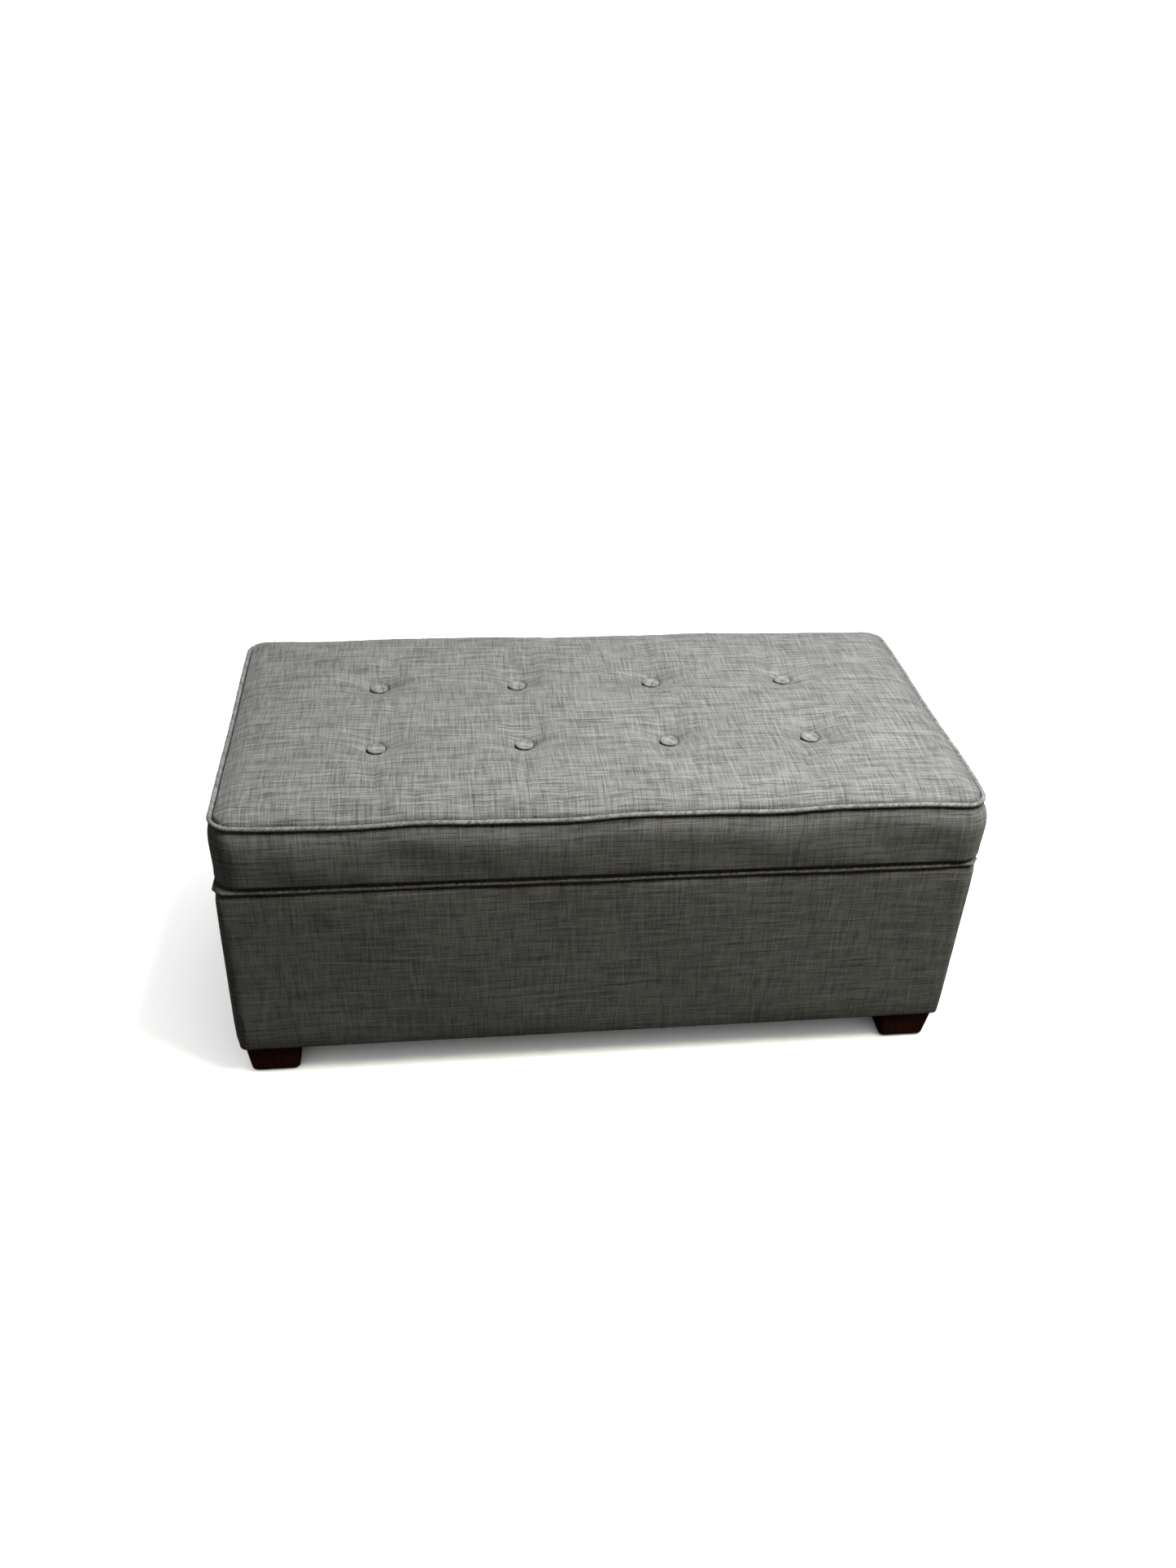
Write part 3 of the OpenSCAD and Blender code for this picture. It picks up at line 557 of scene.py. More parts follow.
def lacquered_wood_material():
    """Espresso-stained wood under a satin lacquer, its grain running up the foot."""
    material, tree, shader = new_material(
        "espresso_wood", roughness=0.3, Coat_Weight=0.12, Coat_Roughness=0.22, Specular_IOR_Level=0.22,
    )
    place = object_place(tree)
    drift = noise(tree, place, (0.03, 0.03, 0.20))
    grain = noise(tree, place, (0.0016, 0.0016, 0.045), detail=4.0, roughness=0.65)
    pores = noise(tree, place, (0.0006, 0.0006, 0.012))
    tone = calculate(tree, "ADD", multiply(tree, grain, 0.7), multiply(tree, drift, 0.3))
    colour = two_tone(tree, tone, (0.036, 0.0095, 0.0072), (0.135, 0.036, 0.028))
    link_colour(tree, shader, colour, spread(tree, grain, 0.3, 0.7, 0.26, 0.40))
    relief = bump(tree, shader, pores, 0.00012, 0.35)
    bump(tree, shader, grain, 0.0002, 0.3, under=relief)
    return material


def bare_wood_material(name, dark, light, ply=None):
    """Unfinished wood with its grain along X; ply is the thickness of its layers."""
    material, tree, shader = new_material(name, roughness=0.72, Specular_IOR_Level=0.3)
    place = object_place(tree)
    bands = noise(tree, place, (0.35, 0.012, 0.012), detail=3.0)
    grain = noise(tree, place, (0.05, 0.0012, 0.0012), detail=4.0, roughness=0.65)
    tone = calculate(tree, "ADD", multiply(tree, bands, 0.55), multiply(tree, grain, 0.45))
    colour = two_tone(tree, tone, dark, light)
    if ply:
        layers = sine_wave(tree, split(tree, place)[2], ply)
        colour = blend_colours(tree, spread(tree, layers, 0.2, 0.6, 0.0, 0.35), colour, dark)
    link_colour(tree, shader, colour, spread(tree, grain, 0.3, 0.7, 0.62, 0.82))
    bump(tree, shader, grain, 0.0003, 0.4)
    return material


def metal_material():
    """Zinc-plated steel: faint spangle, fine scratches and uneven gloss."""
    material, tree, shader = new_material("zinc_plate", roughness=0.35, Metallic=1.0)
    place = object_place(tree)
    spangle = noise(tree, place, (0.006,) * 3, detail=3.0)
    scratches = noise(tree, place, (0.02, 0.0004, 0.0004))
    colour = two_tone(tree, spangle, (0.46, 0.47, 0.49), (0.68, 0.69, 0.70), low=0.3)
    link_colour(tree, shader, colour, spread(tree, scratches, 0.3, 0.7, 0.28, 0.46))
    bump(tree, shader, scratches, 0.00005, 0.3)
    return material


def moulded_material(name, dark, light, roughness):
    """Moulded plastic or rubber with a fine textured skin and slight rubbing."""
    material, tree, shader = new_material(name, roughness=roughness, Specular_IOR_Level=0.4)
    place = object_place(tree)
    skin = noise(tree, place, (0.0007,) * 3)
    rubbed = noise(tree, place, (0.015,) * 3, detail=3.0)
    rough = spread(tree, rubbed, 0.3, 0.7, roughness - 0.06, roughness + 0.08)
    link_colour(tree, shader, two_tone(tree, rubbed, dark, light), rough)
    bump(tree, shader, skin, 0.00008, 0.5)
    return material


def twine_material():
    """Waxed twine: pale strands twisted round the cord."""
    material, tree, shader = new_material("waxed_twine", roughness=0.6)
    place = object_place(tree)
    twist = noise(tree, place, (0.0006, 0.0006, 0.0014))
    link_colour(tree, shader, two_tone(tree, twist, (0.45, 0.42, 0.35), (0.74, 0.71, 0.63), low=0.3))
    bump(tree, shader, twist, 0.0002, 0.7)
    return material


def studio_material(name, tone, glow=0.0):
    """A plain studio surface with the faintest unevenness, which may glow by itself."""
    constants = {"Specular_IOR_Level": 0.1, "Emission_Strength": glow}
    material, tree, shader = new_material(name, roughness=0.9, **constants)
    cloud = noise(tree, object_place(tree), (0.8,) * 3)
    colour = blend_colours(tree, cloud, (tone,) * 3, (tone + 0.02,) * 3)
    link_colour(tree, shader, colour)
    tree.links.new(colour, shader.inputs["Emission Color"])
    return material


UPHOLSTERY = upholstery_material("upholstery_linen")
# Painted light: the button and piping copies of the seat's fabric are painted 6 and 12 per cent lighter.
BUTTON_CLOTH_PAINTED_LIGHTER = upholstery_material("button_linen_painted_lighter", light=1.06)
PIPING_CLOTH_PAINTED_LIGHTER = upholstery_material("piping_linen_painted_lighter", light=1.12)
LINING = plain_cloth_material("lining_cloth", (0.012, 0.012, 0.013), (0.035, 0.035, 0.038), 0.0007, 0.00015)
DUST_CLOTH = plain_cloth_material("dust_cloth", (0.008, 0.008, 0.009), (0.028, 0.028, 0.030), 0.0012, 0.0002)
WADDING = fibre_material("polyester_wadding", (0.62, 0.62, 0.60), (0.86, 0.86, 0.84), 0.004, 0.0015)
FOAM = fibre_material("seat_foam", (0.60, 0.50, 0.24), (0.80, 0.70, 0.40), 0.0016, 0.0006)
ESPRESSO = lacquered_wood_material()
PLYWOOD = bare_wood_material("plywood", (0.46, 0.31, 0.17), (0.66, 0.49, 0.30), ply=0.0015)
PINE = bare_wood_material("pine", (0.56, 0.38, 0.20), (0.78, 0.60, 0.38))
ZINC = metal_material()
DAMPER_PLASTIC = moulded_material("damper_plastic", (0.014, 0.014, 0.015), (0.034, 0.034, 0.036), 0.42)
NYLON = moulded_material("glide_nylon", (0.60, 0.60, 0.58), (0.76, 0.76, 0.74), 0.45)
RUBBER = moulded_material("bumper_rubber", (0.018, 0.018, 0.019), (0.045, 0.045, 0.047), 0.7)
TWINE = twine_material()


def dress(piece, material):
    """Gives a piece or a CAD node's object one material."""
    piece.data.materials.clear()
    piece.data.materials.append(material)
    return piece


def place_piece(piece, material, body, slot, *nodes):
    """Finishes a piece: its material, the body it rides on, and the CAD nodes it stands for."""
    dress(piece, material)
    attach(piece, body)
    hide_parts(*nodes)
    return piece


# ---------- the lid's pieces ----------

def make_lid_band():
    """The boxing: the band round the lid's sides, turned under the deck."""
    outline = Outline(LID_W, LID_D, LID_CORNER_R, seam=True)

    def section(i):
        x, y = outline.points[i]
        along = outline.along[i]
        flat = outline.flatness(i)
        swell = 0.0007 * ripple(along, 0.21) + 0.0005 * ripple(along, 0.087, 0.02)
        swell = swell * flat - 0.0006 * (1 - flat)
        hang = 0.0013 * smooth((LID_D / 2 - 0.03 - y) / 0.05)
        line = np.array(band_line(welt_wave(x, y), swell, hang, side_flare(x)))
        height = (line[:, 1] - BAND_LOW_Z) / (LID_WELT_Z - BAND_LOW_Z)
        side = smooth(height / 0.15)
        puckers = 0.0004 * ripple(along, 0.031, 0.006) + 0.0003 * ripple(along, 0.0187)
        line[:, 0] += puckers * flat * side * np.exp(-((height - 0.86) / 0.10) ** 2)
        line[:, 0] += 0.0006 * ripple(along + 0.3 * height, 0.33, 0.1) * side
        line[:, 0] -= seam_dip(outline.from_seam(i)) * side
        return thick_line(line, FABRIC_T)

    band = loft("lid_side_band", outline, section)
    place_piece(band, UPHOLSTERY, "lid", "upholstery", "lid_boxing")


def make_lid_piping():
    """The welt cord in its bias-cut sleeve, with the sleeve's slight unevenness."""
    outline = Outline(LID_W, LID_D, LID_CORNER_R, step=0.004, seam=True)

    def section(i):
        x, y = outline.points[i]
        along = outline.along[i]
        r = WELT_R + 0.00012 * ripple(along, 0.043) + 0.00008 * ripple(along, 0.0113)
        r -= seam_dip(outline.from_seam(i), 0.0007)
        return circle_section(r, -WELT_R, LID_WELT_Z + welt_wave(x, y))

    piping = loft("lid_piping", outline, section, bias=True)
    place_piece(piping, PIPING_CLOTH_PAINTED_LIGHTER, "lid", "piping", "lid_welt")


def seat_places(half, inset, coarse, centres):
    """Places from -1 to 1 for a grid over the seat: close along its edge, where the groove,
    wall and roll are, and near the buttons' centres."""
    groove = [0.0, 0.5 * GROOVE_W, GROOVE_W - 0.0005, GROOVE_W]
    wall = [GROOVE_W + WALL_W * (1 - math.cos(math.radians(a))) for a in (12, 22, 34, 46, 58, 70, 82)]
    roll = list(np.linspace(GROOVE_W + 1.1 * WALL_W, GROOVE_W + ROLL_W, 12))
    ends = np.array([d - inset for d in groove + wall + roll if d > inset + 0.0008])
    ends = np.concatenate([[0.0], ends])
    middle = even_places(-half + ends[-1], half - ends[-1], coarse, centres)[1:-1]
    return np.concatenate([-half + ends, middle, (half - ends)[::-1]]) / half


def even_places(low, high, step, centres):
    """Places from low to high about a step apart, and closer near each centre."""
    fine = np.linspace(low, high, 2001)
    density = 1 + sum(1.4 * np.exp(-((fine - c) / 0.018) ** 2) for c in centres)
    total = np.concatenate([[0.0], np.cumsum((density[1:] + density[:-1]) / 2 * np.diff(fine))]) / step
    return np.interp(np.linspace(0, total[-1], round(total[-1]) + 1), total, fine)


def spaced(half, fine, coarse, edge):
    """Places from -1 to 1 for a grid: fine steps within edge of its ends, coarse between."""
    ends = np.arange(0, edge, fine)
    count = max(2, round(2 * (half - edge) / coarse))
    middle = np.linspace(-half + edge, half - edge, count + 1)
    return np.concatenate([-half + ends, middle, (half - ends)[::-1]]) / half


CLOTH_SETTINGS = {
    "quality": 6, "mass": 0.25, "tension_stiffness": 25, "compression_stiffness": 25,
    "shear_stiffness": 8, "bending_stiffness": 0.6, "pin_stiffness": 1.5,
    "shrink_min": -0.012, "shrink_max": -0.012, "use_pressure": True, "uniform_pressure_force": 1.2,
}


def relax_seat(step=0.007, frames=18, most=0.0022):
    """Lets the seat's fabric settle by cloth simulation: held at its seam and buttons, cut a
    little full, and blown up by the foam."""
    nx, ny = round(2 * COVER_HALF_W / step), round(2 * COVER_HALF_D / step)
    gx, gy = np.linspace(-1, 1, nx + 1), np.linspace(-1, 1, ny + 1)
    u, v = np.meshgrid(gx, gy, indexing="ij")
    x, y = round_corner(u, v, COVER_HALF_W, COVER_HALF_D, COVER_R)
    z = seat_height(x, y)
    sheet = grid_piece("seat_simulation", x, y, z)
    inside = edge_distance(x, y, COVER_HALF_W, COVER_HALF_D, COVER_R).ravel()
    to_button = np.min([np.hypot(x - bx, y - by).ravel() for bx, by in BUTTON_XY], axis=0)
    held = 0.06 + 0.94 * np.maximum(smooth(1 - inside / 0.020), smooth(1 - (to_button - 0.021) / 0.012))
    pins = sheet.vertex_groups.new(name="held")
    for i, weight in enumerate(held):
        pins.add([i], float(weight), "REPLACE")
    cloth = sheet.modifiers.new("cloth", "CLOTH")
    for setting, value in CLOTH_SETTINGS.items():
        setattr(cloth.settings, setting, value)
    cloth.settings.vertex_group_mass = pins.name
    cloth.settings.effector_weights.gravity = 0.0
    cloth.collision_settings.use_self_collision = False
    cloth.point_cache.frame_start = 1
    cloth.point_cache.frame_end = frames
    scene = bpy.context.scene
    for number in range(1, frames + 1):
        scene.frame_set(number)
    settled = sheet.evaluated_get(bpy.context.evaluated_depsgraph_get())
    after = np.array([point.co for point in settled.data.vertices])
    rise = np.clip(after[:, 2].reshape(z.shape) - z, -most, most)
    scene.frame_set(1)
    mesh = sheet.data
    bpy.data.objects.remove(sheet)
    bpy.data.meshes.remove(mesh)
    return gx, gy, rise


def grid_faces(x, y):
    """Quads between a grid's points, facing up, and their UVs in metres."""
    nx, ny = x.shape[0] - 1, x.shape[1] - 1
    i, j = np.meshgrid(np.arange(nx), np.arange(ny), indexing="ij")
    a = (i * (ny + 1) + j).ravel()
    faces = np.column_stack([a, a + ny + 1, a + ny + 2, a + 1])
    flat = np.column_stack([x.ravel(), y.ravel()])
    return [tuple(int(n) for n in face) for face in faces], flat[faces.ravel()]


def grid_piece(name, x, y, z):
    """A single skin through a grid's points."""
    vertices = np.column_stack([x.ravel(), y.ravel(), z.ravel()])
    return new_piece(name, vertices, *grid_faces(x, y))


def sample_grid(gx, gy, values, u, v):
    """The values of a grid at places between its points."""
    i = np.clip(np.searchsorted(gx, u) - 1, 0, len(gx) - 2)
    j = np.clip(np.searchsorted(gy, v) - 1, 0, len(gy) - 2)
    s = (u - gx[i]) / (gx[i + 1] - gx[i])
    t = (v - gy[j]) / (gy[j + 1] - gy[j])
    low = values[i, j] * (1 - t) + values[i, j + 1] * t
    high = values[i + 1, j] * (1 - t) + values[i + 1, j + 1] * t
    return low * (1 - s) + high * s


def seat_grid(drop, inset, coarse=0.0046, settled=None):
    """Grid points over the seat at a drop below its fabric, set in from its edge."""
    half_w, half_d = COVER_HALF_W - inset, COVER_HALF_D - inset
    gx = seat_places(half_w, inset, coarse, BUTTON_COLUMNS)
    gy = seat_places(half_d, inset, coarse, BUTTON_ROWS)
    u, v = np.meshgrid(gx, gy, indexing="ij")
    x, y = round_corner(u, v, half_w, half_d, max(COVER_R - inset, 0.004))
    z = seat_height(x, y) - drop
    if settled is not None:
        z = z + sample_grid(*settled, u, v)
    return x, y, z


def make_seat_cover(settled):
    """The seat's top panel, buttoned down in eight places."""
    x, y, z = seat_grid(0.0, 0.0, settled=settled)
    cover = grid_piece("seat_cover", x, y, z)
    thicken(cover, FABRIC_T)
    place_piece(cover, UPHOLSTERY, "lid", "upholstery", "lid_top_cover")


def thicken(piece, thickness, offset=-1.0):
    """Gives a single-skin piece its fabric's thickness, inwards unless the offset is 1."""
    solid = piece.modifiers.new("thickness", "SOLIDIFY")
    solid.thickness = thickness
    solid.offset = offset
    shaped = piece.evaluated_get(bpy.context.evaluated_depsgraph_get())
    mesh = bpy.data.meshes.new_from_object(shaped)
    piece.modifiers.clear()
    piece.data = mesh


def close_below(name, x, y, z, bottom_z):
    """A closed solid between a grid surface and a flat bottom."""
    nx, ny = x.shape[0] - 1, x.shape[1] - 1
    top = np.column_stack([x.ravel(), y.ravel(), z.ravel()])
    low = np.column_stack([x.ravel(), y.ravel(), np.full(x.size, bottom_z)])
    faces, _ = grid_faces(x, y)
    count = len(top)
    faces += [tuple(count + n for n in reversed(face)) for face in faces]
    ring = [(i, 0) for i in range(nx)] + [(nx, j) for j in range(ny)]
    ring += [(i, ny) for i in range(nx, 0, -1)] + [(0, j) for j in range(ny, 0, -1)]
    edge = [i * (ny + 1) + j for i, j in ring]
    for a, b in zip(edge, edge[1:] + edge[:1]):
        faces.append((a, count + a, count + b, b))
    vertices = np.vstack([top, low])
    uvs = np.concatenate([vertices[list(face)][:, :2] for face in faces])
    return new_piece(name, vertices, faces, uvs)


def make_foam():
    """The seat's foam slab, crowned and dented under each button."""
    x, y, z = seat_grid(0.0078, GROOVE_W + 0.008, coarse=0.008)
    foam = close_below("seat_foam_slab", x, y, z, node_box("lid_foam")[0][2])
    place_piece(foam, FOAM, "lid", "foam", "lid_foam")


def make_wadding_wrap():
    """Wadding over the foam and down the lid's sides."""
    outline = Outline(LID_W, LID_D, LID_CORNER_R)
    x, y, z = seat_grid(0.0022, GROOVE_W + 0.0026, coarse=0.008)
    top = grid_piece("wadding_wrap", x, y, z)
    thicken(top, 0.005)

    def section(i):
        px, py = outline.points[i]
        line = np.array(band_line(welt_wave(px, py), -0.0022, 0.0, side_flare(px)))[5:-3]
        line[:, 0] -= FABRIC_T + 0.0008
        line[:, 1] = np.maximum(line[:, 1], BAND_LOW_Z + FABRIC_T + 0.0004)
        return thick_line(line, 0.004)

    sides = loft("wadding_sides", outline, section)
    place_piece(top, WADDING, "lid", "wadding", "lid_wadding")
    place_piece(sides, WADDING, "lid", "wadding")


def make_button(name, turn):
    """A flat, slightly domed button covered in the seat's fabric, with its shank below."""
    middle_x, middle_y, _ = node_middle(name)
    low_z = node_box(name)[0][2]
    sides = 72
    rim_r, rim_z, edge_r = BUTTON_R, BUTTON_TOP_Z - 0.0024, 0.0008
    profile = [(0.0030, low_z), (0.0034, BUTTON_UNDER_Z), (0.62 * rim_r, BUTTON_UNDER_Z)]
    profile += [(rim_r - edge_r + edge_r * math.cos(a), rim_z + edge_r * math.sin(a))
                for a in np.radians([-65, -40, -15, 10, 35, 60])]
    shoulder_r, shoulder_z = profile[-1]
    profile += [(shoulder_r * math.cos(a), shoulder_z + (BUTTON_TOP_Z - shoulder_z) * math.sin(a))
                for a in np.radians([12, 24, 36, 48, 60, 70, 80])]
    vertices = [(middle_x, middle_y, BUTTON_TOP_Z), (middle_x, middle_y, low_z)]
    for radius, z in profile:
        gather = 0.0002 * math.exp(-((z - rim_z) / 0.0010) ** 2)
        for i in range(sides):
            angle = 2 * math.pi * i / sides
            r = radius + gather * (math.cos(18 * angle + turn) - 1)
            vertices.append((middle_x + r * math.cos(angle), middle_y + r * math.sin(angle), z))
    faces = ring_faces(len(profile), sides, first=2)
    last = 2 + (len(profile) - 1) * sides
    faces += [(last + i, last + (i + 1) % sides, 0) for i in range(sides)]
    faces += [(2 + (i + 1) % sides, 2 + i, 1) for i in range(sides)]
    cos, sin = math.cos(turn), math.sin(turn)
    uvs = []
    for n in [n for face in faces for n in face]:
        x, y, z = vertices[n]
        reach = 1 + max(0.0, rim_z - z) / rim_r
        u, v = (x - middle_x) * reach, (y - middle_y) * reach
        uvs.append((u * cos - v * sin, u * sin + v * cos))
    button = new_piece("covered_" + name, vertices, faces, uvs)
    place_piece(button, BUTTON_CLOTH_PAINTED_LIGHTER, "lid", "button_cloth", name)


def make_lid_lining():
    """The black cloth under the lid, its middle hanging 0.1 mm below a hem band round its edge."""
    low, high = node_box("lid_lining")
    w, d, _ = high - low
    gx, gy = spaced(w / 2, 0.0035, 0.016, 0.014), spaced(d / 2, 0.0035, 0.016, 0.014)
    u, v = np.meshgrid(gx, gy, indexing="ij")
    x, y = round_corner(u, v, w / 2, d / 2, 0.006)
    inside = edge_distance(x, y, w / 2, d / 2, 0.006)
    hem = smooth((inside - 0.008) / 0.003)
    sag = 0.0006 * ripple(x, 0.21, 0.03) * ripple(y, 0.17) * smooth(inside / 0.05)
    z = high[2] - 0.0002 - 0.0001 * hem + np.minimum(sag, 0)
    lining = grid_piece("lid_lining_cloth", x, y, z)
    thicken(lining, LINING_T)
    place_piece(lining, LINING, "lid", "lining_cloth", "lid_lining")


# ---------- the box's pieces ----------

def make_box_cover():
    """The fabric round the box, from under its welt to where it is stapled underneath."""
    outline = Outline(BOX_W, BOX_D, BOX_CORNER_R, seam=True)
    fold_r = 0.005
    turned_under = 0.035
    top_z = BOX_WELT_Z - 0.6 * BOX_WELT_R

    def section(i):
        along = outline.along[i]
        fold = (-fold_r, SIDE_LOW_Z + fold_r)
        line = [(x, SIDE_LOW_Z) for x in np.linspace(-turned_under, -fold_r - 0.004, 4)]
        line += bend(-90, 0, fold, fold_r, 6)
        line += [(0.0, z) for z in np.linspace(fold[1], top_z, 19)[1:]]
        line = np.array(line)
        height = (line[:, 1] - SIDE_LOW_Z) / (top_z - SIDE_LOW_Z)
        flat = outline.flatness(i)
        side = smooth(height / 0.06)
        line[:, 0] += (0.0010 + 0.0012 * flat) * (1 - np.abs(2 * height - 1) ** 8) * side
        line[:, 0] += 0.0007 * flat * ripple(along + 0.22 * height, 0.41, 0.08) * side
        line[:, 0] += 0.0003 * flat * ripple(along - 0.05 * height, 0.096) * smooth((height - 0.7) / 0.3)
        line[:, 0] -= 0.0012 * smooth((height - 0.975) / 0.025)
        line[:, 0] -= seam_dip(outline.from_seam(i)) * side
        return thick_line(line, FABRIC_T)

    cover = loft("box_cover", outline, section)
    place_piece(cover, UPHOLSTERY, "box", "upholstery", "box_side_cover")


def make_box_wadding():
    """The thin wadding between the panels and their fabric."""
    outline = Outline(BOX_W, BOX_D, BOX_CORNER_R, step=0.02)
    low_z = node_box("box_wadding")[0][2]
    outer = FABRIC_T + 0.0002

    def section(i):
        soft = 0.0003 * ripple(outline.along[i], 0.13)
        heights = np.linspace(low_z + 0.0005, BOX_WELT_Z - BOX_WELT_R - 0.001, 12)
        return thick_line([(-outer - 0.0004 + soft, z) for z in heights], 0.0018)

    wadding = loft("box_wadding_wrap", outline, section)
    place_piece(wadding, WADDING, "box", "wadding", "box_wadding")


def make_box_piping():
    """The welt round the top of the box."""
    outline = Outline(BOX_W, BOX_D, BOX_CORNER_R, step=0.005, seam=True)

    def section(i):
        along = outline.along[i]
        r = BOX_WELT_R + 0.0001 * ripple(along, 0.039) - seam_dip(outline.from_seam(i), 0.0006)
        z = BOX_WELT_Z + 0.0005 * ripple(along, 0.37, 0.1) + 0.0003 * ripple(along, 0.141)
        corner = min(1.0, 4 * abs(outline.normals[i]).min())
        return circle_section(r, 0.0002 - 0.0028 * corner, z, sides=16)

    piping = loft("box_piping", outline, section, bias=True)
    place_piece(piping, PIPING_CLOTH_PAINTED_LIGHTER, "box", "piping", "box_welt")


def make_rim_cover():
    """The strip of fabric over the rim, from the welt to the lining."""
    outline = Outline(BOX_W, BOX_D, BOX_CORNER_R, seam=True)
    rim_w = (BOX_W - ROOM_W) / 2
    fold_r = 0.0024

    def section(i):
        fold = (-fold_r - 0.0006, RIM_Z - fold_r)
        line = [(-0.0004, BOX_WELT_Z + 0.8 * BOX_WELT_R)]
        line += bend(0, 90, fold, fold_r, 5)
        line += [(x, RIM_Z) for x in np.linspace(-0.006, -rim_w - 0.0005, 8)]
        line = np.array(line)
        soft = 0.0002 * ripple(outline.along[i], 0.083) * smooth((-line[:, 0] - 0.003) / 0.004)
        line[:, 1] -= 0.0002 + np.abs(soft)
        return thick_line(line, 0.0011)

    rim = loft("rim_cover", outline, section)
    place_piece(rim, UPHOLSTERY, "box", "upholstery", "box_rim_cover")


def room_corners(inset, post):
    """The plan of the storage room, notched round its four corner posts."""
    x, y = ROOM_W / 2 - inset, ROOM_D / 2 - inset
    quarter = [(x, y - post), (x - post, y - post), (x - post, y)]
    half = quarter + [(-a, b) for a, b in reversed(quarter)]
    return half + [(-a, -b) for a, b in half]


def make_storage_lining():
    """The lining of the storage room: soft walls and a floor, in one skin."""
    low, high = node_box("storage_lining")
    post = node_size("corner_post_front_left")[0]
    corners = room_corners(0.0002, post)
    step, wall_rings, floor_rings = 0.012, 22, 9
    line = resample(corners + corners[:1], step)[:-1]
    count = len(line)
    drop = high[2] - low[2] - 0.0005
    rows = [high[2] - 0.0002 - drop * k / wall_rings for k in range(wall_rings + 1)]
    rings = []
    along = np.arange(count) * step
    outward = line / np.linalg.norm(line, axis=1, keepdims=True)
    for z in rows:
        deep = smooth((high[2] - z) / 0.05) * smooth((z - low[2]) / 0.03)
        sag = 0.0011 * deep * (1 + ripple(along + 0.4 * z, 0.19) * ripple(along, 0.53, 0.1))
        rings.append(np.column_stack([line - outward * sag[:, None], np.full(count, z)]))
    for k in range(1, floor_rings):
        share = 1 - k / floor_rings
        inner = line * share
        lift = 0.0007 * (1 + ripple(inner[:, 0], 0.31) * ripple(inner[:, 1], 0.23)) * smooth(k / 2)
        rings.append(np.column_stack([inner, rows[-1] + lift]))
    vertices = np.vstack(rings + [np.array([[0.0, 0.0, rows[-1] + 0.0007]])])
    faces, uvs = [], []
    for k in range(len(rings) - 1):
        for i in range(count):
            j = (i + 1) % count
            face = (k * count + i, (k + 1) * count + i, (k + 1) * count + j, k * count + j)
            faces.append(face)
            if k < wall_rings:
                u0, u1 = i * step, (i + 1) * step
                uvs += [(u0, rows[k]), (u0, rows[k + 1]), (u1, rows[k + 1]), (u1, rows[k])]
            else:
                uvs += [tuple(vertices[n][:2]) for n in face]
    last, centre = (len(rings) - 1) * count, len(vertices) - 1
    for i in range(count):
        face = (last + i, centre, last + (i + 1) % count)
        faces.append(face)
        uvs += [tuple(vertices[n][:2]) for n in face]
    lining = new_piece("storage_room_lining", vertices, faces, uvs)
    thicken(lining, LINING_T, offset=1.0)
    lining.data.set_sharp_from_angle(angle=math.radians(40))
    place_piece(lining, LINING, "box", "lining_cloth", "storage_lining")


def make_dust_cloth():
    """The black cloth under the box, sagging a little between its staples."""
    low, high = node_box("dust_cover")
    w, d, _ = high - low
    gx, gy = np.linspace(-1, 1, 83), np.linspace(-1, 1, 41)
    u, v = np.meshgrid(gx, gy, indexing="ij")
    x, y = u * w / 2, v * d / 2
    free = (1 - u ** 4) * (1 - v ** 4)
    sag = 0.0035 * free * smooth((1 - np.abs(u)) / 0.1) * smooth((1 - np.abs(v)) / 0.15)
    crease = 0.0005 * ripple(x + 0.4 * y, 0.12) * free
    z = high[2] - 0.0001 - sag * 0.6 - np.abs(crease)
    cloth = grid_piece("dust_cloth", x, y, z)
    thicken(cloth, 0.0005)
    place_piece(cloth, DUST_CLOTH, "box", "lining_cloth", "dust_cover")


# ---------- feet ----------

def make_foot(name):
    """A tapered block with rounded edges, turned from one piece of wood."""
    low, high = node_box(name)
    middle = (low + high) / 2
    top_w, height = high[0] - low[0], high[2] - low[2]
    bottom_w = top_w - 0.010
    edge_r, corner_r = 0.0045, 0.0075
    heights = [0.0, 0.0008, 0.002, 0.0035, 0.0055, 0.010]
    heights += list(np.linspace(0.018, height - 0.0012, 6)) + [height - 0.0004, height]
    vertices = []
    sides = 9
    for z in heights:
        w = bottom_w + (top_w - bottom_w) * z / height
        inset = edge_r - math.sqrt(max(0.0, edge_r ** 2 - max(0.0, edge_r - z) ** 2))
        inset += 0.0006 * max(0.0, z - height + 0.0012) / 0.0012
        half, r = w / 2 - inset, corner_r
        for quarter in range(4):
            for k in range(sides):
                angle = math.radians(90 * quarter + 90 * k / (sides - 1))
                cx = (half - r) * (1 if quarter in (0, 3) else -1)
                cy = (half - r) * (1 if quarter in (0, 1) else -1)
                vertices.append((middle[0] + cx + r * math.cos(angle), middle[1] + cy + r * math.sin(angle),
                                 low[2] + z))
    ring = 4 * sides
    faces = ring_faces(len(heights), ring)
    faces.append(tuple(range(ring - 1, -1, -1)))
    faces.append(tuple(range((len(heights) - 1) * ring, len(heights) * ring)))
    uvs = [(vertices[n][0], vertices[n][2]) for face in faces for n in face]
    foot = new_piece("wooden_" + name, vertices, faces, uvs)
    foot.data.set_sharp_from_angle(angle=math.radians(50))
    place_piece(foot, ESPRESSO, "box", "dark_wood", name)


# ---------- CAD nodes that keep their shape ----------

